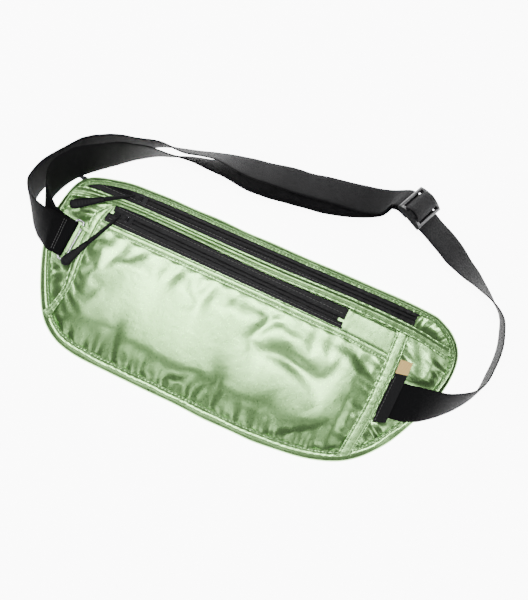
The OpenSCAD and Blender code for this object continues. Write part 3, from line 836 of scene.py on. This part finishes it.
def relaxed(plan, z, hold, growth):
    """Cloth simulation: the grid grows a little inside its held border and buckles into folds."""
    rows, columns = z.shape
    shape = with_height(plan, z).reshape(-1, 3) * CLOTH_SCALE
    index = np.arange(rows * columns).reshape(rows, columns)
    quads = np.stack([index[:-1, :-1], index[1:, :-1], index[1:, 1:], index[:-1, 1:]], -1)
    mesh = bpy.data.meshes.new("work")
    mesh.from_pydata(shape.tolist(), [], quads.reshape(-1, 4).tolist())
    scene = bpy.context.scene
    work = bpy.data.objects.new("work", mesh)
    scene.collection.objects.link(work)
    pins = work.vertex_groups.new(name="pins")
    pins.add([int(i) for i in index[hold]], 1.0, "REPLACE")
    cloth = work.modifiers.new("cloth", "CLOTH")
    settings = cloth.settings
    settings.quality = 7
    settings.mass = 0.25
    settings.air_damping = 2.0
    settings.tension_stiffness = 25
    settings.compression_stiffness = 25
    settings.shear_stiffness = 12
    settings.bending_stiffness = 2.5
    settings.vertex_group_mass = "pins"
    settings.shrink_min = -growth
    settings.use_pressure = True
    settings.uniform_pressure_force = 0.35
    settings.effector_weights.gravity = 0.0
    cloth.collision_settings.use_collision = False
    cloth.point_cache.frame_end = 60
    for frame_number in range(1, 51):
        scene.frame_set(frame_number)
    shown = work.evaluated_get(bpy.context.evaluated_depsgraph_get())
    flat = np.zeros(rows * columns * 3)
    shown.data.vertices.foreach_get("co", flat)
    scene.frame_set(1)
    bpy.data.objects.remove(work)
    return flat.reshape(rows, columns, 3) / CLOTH_SCALE


def finer(grid, rows, columns):
    """A grid carried smoothly to more rows and columns."""
    tall = smooth_curve_rows(grid, rows)
    return smooth_curve_rows(tall.transpose(1, 0, 2), columns).transpose(1, 0, 2)


def smooth_curve_rows(grid, count):
    """Catmull-Rom interpolation along a grid's first axis."""
    t = np.linspace(0, len(grid) - 1, count)
    i = np.minimum(t.astype(int), len(grid) - 2)
    f = (t - i)[:, None, None]
    padded = np.concatenate([2 * grid[:1] - grid[1:2], grid, 2 * grid[-1:] - grid[-2:-1]])
    a, b, c, d = padded[i], padded[i + 1], padded[i + 2], padded[i + 3]
    return 0.5 * (2 * b + (c - a) * f + (2 * a - 5 * b + 4 * c - d) * f * f
                  + (3 * b - a - 3 * c + d) * f ** 3)


# The pocket's main folds: start and end in plan (mm), width (mm), height (mm) and skew.
FOLDS = (
    ((-104, 24), (-60, -22), 7, 0.9, 0.4), ((-108, 8), (-84, -40), 6, -0.8, 0.2),
    ((-100, -18), (-30, -46), 8, 1.1, -0.3), ((-92, -34), (-10, -52), 6, -1.1, 0.3),
    ((-70, 18), (10, -16), 11, 0.8, 0.5), ((-60, 26), (-20, 2), 6, -0.6, 0.2),
    ((-6, -2), (84, -14), 9, -2.6, 0.5), ((-14, 10), (70, 8), 9, 1.5, -0.3),
    ((-88, -14), (2, -30), 10, 2.1, -0.2), ((-84, -36), (8, -48), 9, -1.3, 0.2),
    ((0, -22), (90, -26), 9, 1.0, 0.2), ((44, -58), (92, -26), 5, -1.1, 0.2),
    ((30, -58), (76, -30), 6, 0.9, 0.0), ((60, -60), (96, -36), 4, 0.7, 0.0),
    ((60, 20), (96, -6), 6, 0.6, 0.2), ((-40, -58), (-24, -30), 7, 0.5, 0.1),
    ((-106, 26), (-98, -6), 4, 0.5, 0.1), ((84, 20), (90, -40), 4, -0.5, 0.1),
)


HEM_ROWS = (1.3 * MM, 5.1 * MM)


def build_pocket():
    """The full front pocket: satin held at its hem, side trims and bottom seam."""
    hem = hem_line()
    left, right = trim_middle("left_trim"), trim_middle("right_trim")
    left = left[left[:, 1] < hem[0, 1]]
    right = right[right[:, 1] < hem[-1, 1]]
    bottom = stretch_of_outline(left[0], right[0], 3.4 * MM, 400)
    across, down = 210, 96
    u = np.linspace(0, 1, across)[:, None, None]
    v = np.linspace(0, 1, down)[None, :, None]
    top_edge = smooth_curve(hem, across)[:, None]
    low_edge = smooth_curve(bottom, across)[:, None]
    left_edge = smooth_curve(np.vstack([low_edge[0], left[2:], top_edge[0]]), down)[None]
    right_edge = smooth_curve(np.vstack([low_edge[-1], right[2:], top_edge[-1]]), down)[None]
    plan = ((1 - v) * low_edge + v * top_edge + (1 - u) * left_edge + u * right_edge
            - (1 - u) * (1 - v) * low_edge[0] - u * (1 - v) * low_edge[-1]
            - (1 - u) * v * top_edge[0] - u * v * top_edge[-1])
    u, v = u[..., 0], v[..., 0]
    low_d = np.linalg.norm(plan - plan[:, :1], axis=2)
    top_d = np.linalg.norm(plan - plan[:, -1:], axis=2)
    left_d = np.linalg.norm(plan - plan[:1], axis=2)
    right_d = np.linalg.norm(plan - plan[-1:], axis=2)
    s = runs(plan[:, 0])[:, None] + 0 * low_d
    t = runs(plan[0])[None] + 0 * low_d
    edge_z = 4.55 + 2.1 * ease(low_d / (26 * MM))
    edge_z = edge_z + 0.45 * ease((v - 0.6) / 0.4)
    full = 1.5 * np.sin(math.pi * v) ** 0.8 * np.sin(math.pi * u) ** 0.5
    z = (edge_z + full) * MM
    inner = ease(low_d / (9 * MM)) * ease((top_d - 6 * MM) / (9 * MM)) * ease(
        (left_d - 3 * MM) / (8 * MM)) * ease((right_d - 4 * MM) / (8 * MM))
    folds = sum(crease(plan, *fold) for fold in FOLDS)
    z += inner * (folds + 0.8 * random_folds(plan, 41, 60, (-105, -55), (92, 22)))
    z += 0.5 * MM * ripples(s + 0.35 * low_d, 43, 11 * MM) * np.exp(
        -np.abs(low_d - 5 * MM) / (7 * MM)) * ease(low_d / (3 * MM))
    for depth, d, run, seed, length, centre, reach in (
            (0.16, top_d, s + 0.2 * top_d, 44, 14, 8, 6),
            (0.35, left_d, t + 0.3 * left_d, 45, 10, 6, 7),
            (0.35, right_d, t - 0.3 * right_d, 46, 10, 7, 7)):
        z += depth * MM * ripples(run, seed, length * MM) * np.exp(
            -np.abs(d - centre * MM) / (reach * MM))
    hold = (top_d < 7.5 * MM) | (low_d < 2.5 * MM) | (left_d < 3 * MM) | (right_d < 4 * MM)
    step = (slice(None, None, 2), slice(None, None, 2))
    settled = finer(relaxed(plan[step], z[step], hold[step], 0.013), across, down)
    base = edge_z * MM
    rise = settled[..., 2] - base
    room = np.where(rise > 0, 2.7 * MM, 1.6 * MM)
    held = ease(low_d / (9 * MM)) * ease((top_d - 6 * MM) / (16 * MM)) * ease(
        left_d / (14 * MM)) * ease((right_d - 2 * MM) / (16 * MM))
    z = z * (1 - held) + held * (base + room * np.tanh(rise / room))
    plan = plan * (1 - held[..., None]) + settled[..., :2] * held[..., None]
    side_d = np.minimum(left_d, right_d)
    z = np.minimum(z, (6.95 + 3 * ease((side_d - 3 * MM) / (9 * MM))) * MM)
    z = np.minimum(z, (7.35 + 2 * ease((top_d - 5 * MM) / (12 * MM))) * MM)
    hem_zone = ease((7 * MM - top_d) / (1.2 * MM))
    z = z * (1 - hem_zone) + hem_zone * (7.3 * MM + 0.1 * MM * ripples(s, 47, 16 * MM))
    for row in HEM_ROWS:
        z -= seam(top_d, s, row, 0.6 * MM)
    z -= 0.25 * MM * np.exp(-top_d / (0.4 * MM))
    z = np.maximum(z, 4.5 * MM)
    top = with_height(plan, z)
    settle(sheet("front_pocket", top, with_height(plan, z - 0.4 * MM), silk), "pouch",
           "front_pocket_panel")
    for number, row in enumerate(HEM_ROWS):
        line = []
        for i in range(5, across - 5):
            order = np.argsort(top_d[i])
            line.append([np.interp(row, top_d[i][order], top[i, order, k]) for k in range(3)])
        stitch_row(f"hem_stitches_{number}", np.array(line), thread, "pouch", lift=0.12 * MM)


def main_sheet():
    """The main panel under the pocket, sunk where the upper zip runs over it."""
    zip_low = long_sides("upper_zip_tape_bottom")[0]

    def top(plan):
        line = np.interp(plan[..., 0], zip_low[:, 0], zip_low[:, 1])
        return (3.7 - 2.2 * ease((plan[..., 1] - line + 1 * MM) / (4 * MM))) * MM

    loop = OUTER[::4] + inwards(OUTER)[::4] * 3.0 * MM
    settle(build_disc("main_pocket", loop, top, lambda p: top(p) - 0.4 * MM, silk), "pouch",
           "main_pocket_panel")


def build_wings():
    """The main panel's cloth outside the trims."""
    tucked = 3.6 * MM  # how far the cloth's edge lies inside the outline, under the binding
    for name, start, past, strap_zone, seed in (("left", (-137, 46), (-8, -12), (-2, 27), 51),
                                                ("right", (140, 40), (0, -9), (-16, 13), 54)):
        trim = trim_middle(name + "_trim")[::-1]
        edge = stretch_of_outline(np.array(start) * MM, trim[-1] + np.array(past) * MM, tucked, 110)
        zone = [y * MM for y in strap_zone]
        wing(name + "_wing", edge, smooth_curve(trim, 110), zone, seed)
    low, high = [side[side[:, 0] > 100 * MM] for side in long_sides("middle_band")]
    corner = smooth_curve(high * 0.7 + low[:len(high)] * 0.3, 60)
    edge = stretch_of_outline(np.array([corner[0, 0], 62 * MM]), np.array([139, 44]) * MM,
                              tucked, 60)
    nowhere = (-1.0, -0.9)  # no strap crosses this corner
    wing("corner_wing", edge, corner, nowhere, 57)


def helix(a, b, radius, pitch, wire, squeeze):
    """Points and faces of a coil wound from a to b."""
    a, b = np.array(a), np.array(b)
    length = np.linalg.norm(b - a)
    along = (b - a) / length
    side = unit(np.cross(UP, along))
    turns = int(length / pitch)
    t = np.linspace(0, 1, turns * 7)
    angle = t * turns * 2 * math.pi
    line = a + along * (t * length)[:, None] + side * (radius * np.cos(angle))[:, None] \
        + UP * (radius * squeeze * np.sin(angle))[:, None]
    return tube_part(line, wire, 5, up=along)


def build_zip(name, seed):
    """Coated tapes, the coils under their edges and the closed chain behind the slider."""
    for part, row in (("top", 3.5), ("bottom", -3.5)):
        cad = f"{name}_zip_tape_{part}"
        strip(cad + "_cloth", long_sides(cad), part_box(cad)[1].z - 0.32 * MM, tape, rows=(row,),
              crown=0.12, seed=seed, thick=0.3, cad=cad, stitches=black, dent=0.2)
    low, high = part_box(name + "_zip_coils")
    axis = np.array(joints[name + "_zip_slide"]["axis"])
    begin = np.array(joints[name + "_tab_flip"]["pos_m"])
    begin = begin - axis * ((begin[0] - low.x) / axis[0])
    finish = begin + axis * ((high.x - low.x) / axis[0])
    side = unit(np.cross(UP, axis))
    z = (low.z + high.z) / 2
    parts = []
    for way in (-1, 1):
        a, b = (p + side * way * 1.72 * MM for p in (begin, finish))
        a[2] = b[2] = z
        parts.append(helix(a, b, 0.55 * MM, 1.15 * MM, 0.2 * MM, 0.75))
    settle(merged(name + "_coils", parts, coil), "pouch", name + "_zip_coils")
    # A dark tape sheet just under the zip's gap: painted shade, so the gap between the tapes reads
    # dark.
    floor_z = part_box(name + "_slider")[0].z - 0.12 * MM
    t = np.linspace(0, 1, 150)[:, None]
    middle = begin * (1 - t) + finish * t
    under = np.stack([middle + side * offset * MM for offset in (-3.2, -1.2, 1.2, 3.2)], 1)
    under[..., 2] = floor_z
    settle(sheet(name + "_gap_shade_sheet", under, under - UP * 0.25 * MM, tape), "pouch")
    low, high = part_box(name + "_zip_closed_chain")
    a = begin + axis * ((low.x - begin[0]) / axis[0])
    b = begin + axis * ((high.x - begin[0]) / axis[0])
    t = np.linspace(0, 1, 90)[:, None]
    line = a * (1 - t) + b * t
    rows = []
    for offset, depth in ((-1.15, 0.12), (-0.7, 0), (-0.12, 0.05), (0, 0.3), (0.12, 0.05),
                          (0.7, 0), (1.15, 0.12)):
        point = line + side * offset * MM
        point[:, 2] = high.z - depth * MM
        rows.append(point)
    top = np.stack(rows, 1)
    chain = sheet(name + "_closed_chain", top, top - UP * 0.5 * MM, tape)
    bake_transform(chain)
    mark(chain, name + "_zip_closed_chain")


build_binding()
build_back()
main_sheet()
build_wings()
build_pocket()
strip("band_strip", long_sides("middle_band"), TRIM_TOP, silk, rows=(1.4, -1.3), crown=0.35,
      ridge=0.55, seed=61, cad="middle_band")
for trim_name, trim_row, trim_seed in (("left_trim", 1.2, 63), ("right_trim", 1.3, 65)):
    strip(trim_name + "_strip", long_sides(trim_name), TRIM_TOP - 0.1 * MM, silk,
          rows=(trim_row, -trim_row), seed=trim_seed, cad=trim_name)
strip("patch_strip", long_sides("zip_end_patch"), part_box("zip_end_patch")[1].z, silk,
      crown=0.25, seed=67, across=21, cad="zip_end_patch")
build_zip("upper", 71)
build_zip("lower", 73)


# ---------------------------------------------------------------- webbing

WEB_W = 25.4 * MM


def mid(stations):
    """The middle line of a ribbon's stations."""
    return (stations[:, :3] + stations[:, 3:]) / 2


def matched(stations, start):
    """Stations whose first edge starts near a point: their two edges change over if need be."""
    if np.linalg.norm(stations[0, :3] - start) > WEB_W / 2:
        return stations[:, [3, 4, 5, 0, 1, 2]]
    return stations


def web_ribbon(name, stations, replaced=(), wave=0.0, seed=80, half=0.6, material=web):
    """A webbing ribbon through stations of two edge points, with rounded selvedges."""
    length = path_length(mid(stations))
    stations = smooth_curve(stations, max(12, int(length / (1.3 * MM))))
    low, high = stations[:, :3], stations[:, 3:]
    middle = mid(stations)
    s = runs(middle)
    across = unit(high - low)
    along = unit(np.gradient(middle, axis=0))
    normal = unit(np.cross(along, across))
    w = np.sin(np.linspace(-math.pi / 2, math.pi / 2, 15))
    depth = half * MM * np.sqrt(np.clip(1 - np.abs(w) ** 9, 0, 1))
    depth[[1, -2]] *= 1.06
    ripple = wave * MM * ripples(s, seed, 34 * MM)[:, None]
    skew = wave * 0.6 * MM * ripples(s, seed + 1, 21 * MM)[:, None] * w[None]
    centre = low[:, None] + (high - low)[:, None] * ((w + 1) / 2)[None, :, None]
    centre = centre + normal[:, None] * (ripple + skew)[..., None]
    top = centre + normal[:, None] * depth[None, :, None]
    under = centre - normal[:, None] * depth[None, :, None]
    section = np.concatenate([top, under[:, 1:-1][:, ::-1]], axis=1)
    width = np.linalg.norm(high - low, axis=1).mean()
    v = np.concatenate([w, w[1:-1][::-1]]) * width / 2
    uv = np.stack([np.broadcast_to(s[:, None], section.shape[:2]),
                   np.broadcast_to(v[None], section.shape[:2])], axis=2)
    piece = loft(name, section, material, uv=uv, sharp=70)
    mark(piece, *replaced)
    return piece


def tack(name, stations, index, body):
    """Two black stitch rows across a ribbon at one of its inner stations."""
    low, high = stations[index, :3], stations[index, 3:]
    middle = mid(stations)
    ahead = unit(middle[index + 1] - middle[index - 1])
    normal = unit(np.cross(ahead, high - low))
    normal = normal * np.sign(normal[2] or 1)
    t = np.linspace(0.07, 0.93, 20)[:, None]
    for row, offset in enumerate((-0.8 * MM, 0.8 * MM)):
        line = low + (high - low) * t + ahead * offset + normal * 0.68 * MM
        stitch_row(f"{name}_{row}", line, black, body, pitch=1.8 * MM)


ring_pos = np.array(joints["ring_turn"]["pos_m"])
ring_axis = np.array(joints["ring_turn"]["axis"])
outward = np.array([-ring_axis[1], ring_axis[0], 0])


def fold_through_ring(top, low):
    """Stations of the half turn round the ring's bar, from one height to the other."""
    bar_out = ring_pos[0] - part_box("ring")[0].x - 2.0 * MM
    turn = (top - low) / 2
    fold = []
    for angle in np.radians(np.arange(90, -91, -15)):
        spot = ring_pos + outward * (bar_out - turn * math.cos(angle))
        spot[2] = (top + low) / 2 + turn * math.sin(angle)
        fold.append([*(spot - ring_axis * WEB_W / 2), *(spot + ring_axis * WEB_W / 2)])
    return np.array(fold)


def shift_outwards(stations):
    """Draws the inner layer further from the pouch than its solid, in two places.

    It is 2.3 mm at the top left, and up to 2.6 mm beside the pouch's upper left corner.
    """
    up = window(mid(stations)[:, 0], -88 * MM, -50 * MM, 24 * MM) * 2.3 * MM
    stations[:, [1, 4]] += up[:, None]
    x, y = stations[:, 0] + 135 * MM, stations[:, 1] - 55 * MM
    away = np.exp(-(x ** 2 + y ** 2) / (13 * MM) ** 2) * 2.6 * MM
    stations[:, [0, 3]] -= 0.75 * away[:, None]
    stations[:, [1, 4]] += 0.66 * away[:, None]


def build_left_strap():
    """Both strap layers from the ring to the adjuster and the fold through the ring."""
    under = ribbon_edges("webbing_left_under", (-0.132, 0.0, 0.006), 24)
    over = matched(ribbon_edges("webbing_left_over", (-0.132, 0.0, 0.009), 24), under[0, :3])
    outer = ribbon_edges("webbing_outer", (-0.146, 0.005, 0.006), 280)
    inner = ribbon_edges("webbing_inner", (-0.146, 0.009, 0.006), 260)
    fold = matched(fold_through_ring(over[0, 2], under[0, 2]), over[0, :3])
    parting, lap = -134.5 * MM, 0.1 * MM  # where the fold meets the strap's roots
    near_over = over[mid(over)[:, 0] > parting - lap]
    near_under = under[mid(under)[:, 0] > parting - lap]
    piece = web_ribbon("ring_fold", np.vstack([near_over[::-1], fold, near_under]),
                       ["webbing_ring_fold"])
    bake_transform(piece)
    tack("fold_tack", over, 6, "pouch")
    for name, near, far, cad in (("outer", over, outer, "webbing_left_over"),
                                 ("inner", under, inner, "webbing_left_under")):
        far = matched(far, near[-1, :3])
        if name == "inner":
            shift_outwards(far)
        cut = int(np.argmin(mid(far)[:, 0]))
        root = np.vstack([near[mid(near)[:, 0] < parting + lap], far[1:cut + 1]])
        piece = web_ribbon(f"strap_root_{name}", root, [cad])
        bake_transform(piece)
        rest = far[cut:]
        if name == "inner":
            end = ribbon_edges("webbing_inner_end", (0.061, 0.113, 0.019), 20)
            if np.linalg.norm(end[0] - rest[-1]) >= np.linalg.norm(end[-1] - rest[-1]):
                end = end[::-1]
            piece = web_ribbon("strap_inner_end", matched(end, rest[-1, :3]),
                               ["webbing_inner_end"])
            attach(piece, "adjuster")
        piece = web_ribbon(f"strap_{name}", rest, ["webbing_" + name], wave=0.25,
                           seed=82 + cut % 7)
        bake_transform(piece)


def build_right_strap():
    """The single strap: sewn under the right trim, round to the adjuster."""
    first = ribbon_edges("webbing_right_end", (0.0996, 0, 0.005), 30)
    second = matched(ribbon_edges("webbing_single", (0.132, 0.0, 0.010), 300), first[-1, :3])
    piece = web_ribbon("strap_single", np.vstack([first, second]),
                       ["webbing_right_end", "webbing_single"], wave=0.25, seed=90)
    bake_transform(piece)


def build_adjuster():
    """The bands that wrap the tri-glide's bars."""
    for name, start in (("webbing_bar_loop", (0.0706, 0.1107, 0.0248)),
                        ("webbing_bar_turn", (0.0693, 0.110, 0.0259))):
        stations = ribbon_edges(name, start, 60)
        spare = (stations[:, 3:] - stations[:, :3]) * 0.06
        stations = stations + np.hstack([-spare, spare])
        if name == "webbing_bar_turn":
            way = np.array(joints["adjuster_slide"]["axis"])
            reach = (mid(stations) - mid(stations).mean(0)) @ way
            stations = stations + np.hstack([way, way]) * (0.5 * reach)[:, None]
            stations[:, [2, 5]] += 0.8 * MM
        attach(web_ribbon(name.replace("webbing", "band"), stations, [name], half=0.58),
                "adjuster")


# ---------------------------------------------------------------- hardware, pulls, label

def build_ring_tabs():
    """Two narrow loops that hold the ring to the pouch."""
    points, along = reached("ring_tab", ring_pos, ring_axis)
    reach = reached("ring_tab", ring_pos, -outward)[1].max()
    gaps = np.sort(along)
    split = int(np.argmax(np.diff(gaps)))
    top = points[:, 2].max() - 0.42 * MM
    low = points[:, 2].min() + 0.42 * MM
    radius = (top - low) / 2
    for number, (a, b) in enumerate(((gaps[0], gaps[split]), (gaps[split + 1], gaps[-1]))):
        path = [(reach * share, top) for share in (1, 0.6, 0.3)]
        for angle in np.radians(np.arange(90, -91, -18)):
            path.append((-radius * math.cos(angle), (top + low) / 2 + radius * math.sin(angle)))
        path += [(reach * share, low) for share in (0.3, 0.6, 1)]
        stations = []
        for d, z in path:
            spot = ring_pos - outward * d
            stations.append([*(spot + ring_axis * a)[:2], z, *(spot + ring_axis * b)[:2], z])
        replaced = ["ring_tab"] if number == 0 else []
        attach(web_ribbon(f"ring_tab_{number}", np.array(stations), replaced, half=0.4,
                           material=silk), "pouch")


def twisted(path, side, radius, pitch, phase):
    """One ply of a cord wound round a path."""
    along = unit(np.gradient(path, axis=0))
    over = unit(np.cross(along, side))
    angle = runs(path) / pitch * 2 * math.pi + phase
    return path + radius[:, None] * (np.cos(angle)[:, None] * side + np.sin(angle)[:, None] * over)


def build_pull(name):
    """A zip pull: a looped cord through the tab and a moulded grip."""
    hinge = joints[name + "_pull_lift"]
    start = np.array(hinge["pos_m"])
    axis = np.array(hinge["axis"])
    ahead = np.array([-axis[1], axis[0], 0])
    run = reached(name + "_pull_cord", start, ahead)[1].max()
    knee = run * 0.55
    knee_z = mean_height(name + "_pull_cord", start, ahead, knee) - start[2]
    end_z = mean_height(name + "_pull_cord", start, ahead, run - 0.6 * MM) - start[2]
    tilt = math.atan2(knee_z, knee)
    loop_r = 1.25 * MM
    path = [(run, 0.7 * MM, end_z + 0.2 * MM), (knee, 0.3 * MM, knee_z + 0.75 * MM)]
    for angle in np.radians(np.arange(90, 271, 30)):
        path.append((loop_r * math.cos(angle + tilt), 0, loop_r * math.sin(angle + tilt)))
    path += [(knee, -0.3 * MM, knee_z - 0.75 * MM), (run, -0.7 * MM, end_z - 0.2 * MM)]
    path = smooth_curve(np.array(path), 230)
    world = start + path[:, :1] * ahead + path[:, 1:2] * axis + path[:, 2:] * UP
    full = ease((np.linalg.norm(path, axis=1) - 1.7 * MM) / (3 * MM)) * MM
    parts = [tube_part(twisted(world, axis, 0.2 * MM + 0.28 * full, 2.9 * MM, phase),
                       0.24 * MM + 0.24 * full, 7, up=axis)
             for phase in (0, 2 * math.pi / 3, 4 * math.pi / 3)]
    settle(merged(name + "_cord", parts, cord), name + "_pull", name + "_pull_cord")
    build_grip(name, start, axis, ahead)


def build_grip(name, start, axis, ahead):
    """The moulded grip: a collar, a ribbed hold and a round end."""
    grip = name + "_pull_grip"
    reach = reached(grip, start, ahead)[1]
    first, last = reach.min(), reach.max()
    tail = 3.3 * MM
    z_first = mean_height(grip, start, ahead, first + 1.6 * MM)
    z_last = mean_height(grip, start, ahead, last - tail)
    sections = []
    for t in np.concatenate([np.linspace(0, 0.06, 5), np.linspace(0.08, 0.86, 60),
                             1 - 0.14 * np.cos(np.linspace(0, math.pi / 2, 12))[1:]]):
        d = first + (last - first) * t
        share = np.clip((d - first) / (last - first - tail), 0, 1)
        wide = (1.75 + 1.5 * ease(share)) * MM
        high = (1.45 + 0.1 * share) * MM
        round_end = math.sqrt(max(0.003, 1 - max(0, (d - last + tail) / tail) ** 2))
        nose = math.sqrt(max(0.02, 1 - max(0, 1 - (d - first) / (1.2 * MM)) ** 2))
        rib = 0.0
        if 0.42 < t < 0.84:
            rib = 0.16 * MM * max(0, math.sin((t - 0.42) / 0.42 * 2 * math.pi * 5))
        collar = 0.2 * MM * math.exp(-((t - 0.12) / 0.02) ** 2)
        wide = wide * round_end * nose + collar
        high = (high - rib) * (0.35 + 0.65 * round_end) * nose + collar
        angle = 2 * math.pi * np.arange(28) / 28
        x = np.sign(np.cos(angle)) * np.abs(np.cos(angle)) ** 0.8 * wide
        y = np.sign(np.sin(angle)) * np.abs(np.sin(angle)) ** 0.8 * high
        spot = start + ahead * d
        spot[2] = z_first + (z_last - z_first) * share
        sections.append(spot + axis * x[:, None] + UP * y[:, None])
    settle(loft(name + "_grip", np.array(sections), rubber, sharp=60), name + "_pull", grip)


def build_label():
    """A woven label sewn in at its inner side, and its tan end."""
    for name, material, bend in (("woven_label", label_black, 0.25), ("label_tip", label_tan, 0.2)):
        corners = rims(name)[0]
        order = np.argsort(corners[:, 0])
        left = corners[order[:2]][np.argsort(corners[order[:2], 1])]
        right = corners[order[2:]][np.argsort(corners[order[2:], 1])]
        count = 40
        a = smooth_curve(left[:, :2], count)
        b = smooth_curve(right[:, :2], count)
        plan = ruled(a, b, 22)
        u = np.linspace(0, 1, 22)[None]
        v = np.linspace(0, 1, count)[:, None]
        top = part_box(name)[1].z
        z = top + MM * (bend * np.sin(math.pi * u) * 0.4 - 0.15 * (1 - u) ** 4
                        + 0.08 * np.sin(7 * v + 3 * u))
        top_grid = with_height(plan, z)
        settle(sheet(name + "_cloth", top_grid, top_grid - UP * 0.34 * MM, material), "label", name)
        if name == "woven_label":
            stitch_row("label_stitches", top_grid[1:-1, 3], black, "label", lift=0.02 * MM)


build_left_strap()
build_right_strap()
build_adjuster()
build_ring_tabs()
for zip_name in ("upper", "lower"):
    build_pull(zip_name)
    bevelled(zip_name + "_slider", enamel, 0.22 * MM)
    bevelled(zip_name + "_slider_pin", steel, 0.1 * MM)
    bevelled(zip_name + "_pull_tab", enamel, 0.15 * MM)
    bevelled(zip_name + "_zip_stops", enamel, 0.12 * MM)
bevelled("ring", steel, 0.05 * MM)
bevelled("tri_glide", plastic, 0.45 * MM, 4)
build_label()


# ---------------------------------------------------------------- floor, lights, camera

def floor_material():
    material, tree, shader = start_material("floor")
    cloud = noise(tree, place(tree), 300 * MM, 2)
    tree.links.new(mix(tree, cloud, (0.90, 0.90, 0.90), (0.94, 0.94, 0.94)),
                   shader.inputs["Base Color"])
    shader.inputs["Roughness"].default_value = 0.9
    shader.inputs["Emission Color"].default_value = (1, 1, 1, 1)
    shader.inputs["Emission Strength"].default_value = 9.0
    return material


def area_light(name, place_at, size, power):
    light = bpy.data.lights.new(name, "AREA")
    light.shape = "RECTANGLE"
    light.size, light.size_y = size
    light.energy = power
    lamp = bpy.data.objects.new(name, light)
    lamp.location = place_at
    lamp.rotation_euler = (-Vector(place_at)).to_track_quat("-Z", "Y").to_euler()
    bpy.context.scene.collection.objects.link(lamp)
    return lamp


bpy.ops.mesh.primitive_plane_add(size=30, location=(0, 0, -0.0008))
floor = bpy.context.object
floor.name = "floor"
floor.data.materials.append(floor_material())

lamps = [
    area_light("overhead", (-0.06, 0.13, 1.1), (0.36, 0.28), 13),
    area_light("left_window", (-0.95, 0.25, 0.75), (0.2, 0.7), 5),
    area_light("right_window", (0.9, -0.2, 0.8), (0.2, 0.7), 4),
    area_light("front_window", (-0.1, -0.62, 0.85), (0.5, 0.15), 1.8),
]
world = bpy.data.worlds.new("world")
bpy.context.scene.world = world
world.use_nodes = True
sky = world.node_tree
backdrop = sky.nodes["Background"].inputs
backdrop["Color"].default_value = (1, 1, 1, 1)
rays = node(sky, "ShaderNodeLightPath")
strength = spread(sky, rays.outputs["Is Camera Ray"], 0.11, 1.6)
sky.links.new(strength, backdrop["Strength"])

lens = bpy.data.cameras.new("camera")
lens.lens = 72
lens.sensor_width = 36
camera = bpy.data.objects.new("camera", lens)
camera.location = (0.0078, 0.0257, 0.8)
camera.rotation_euler = (0, 0, math.radians(23))
bpy.context.scene.collection.objects.link(camera)
bpy.context.scene.camera = camera
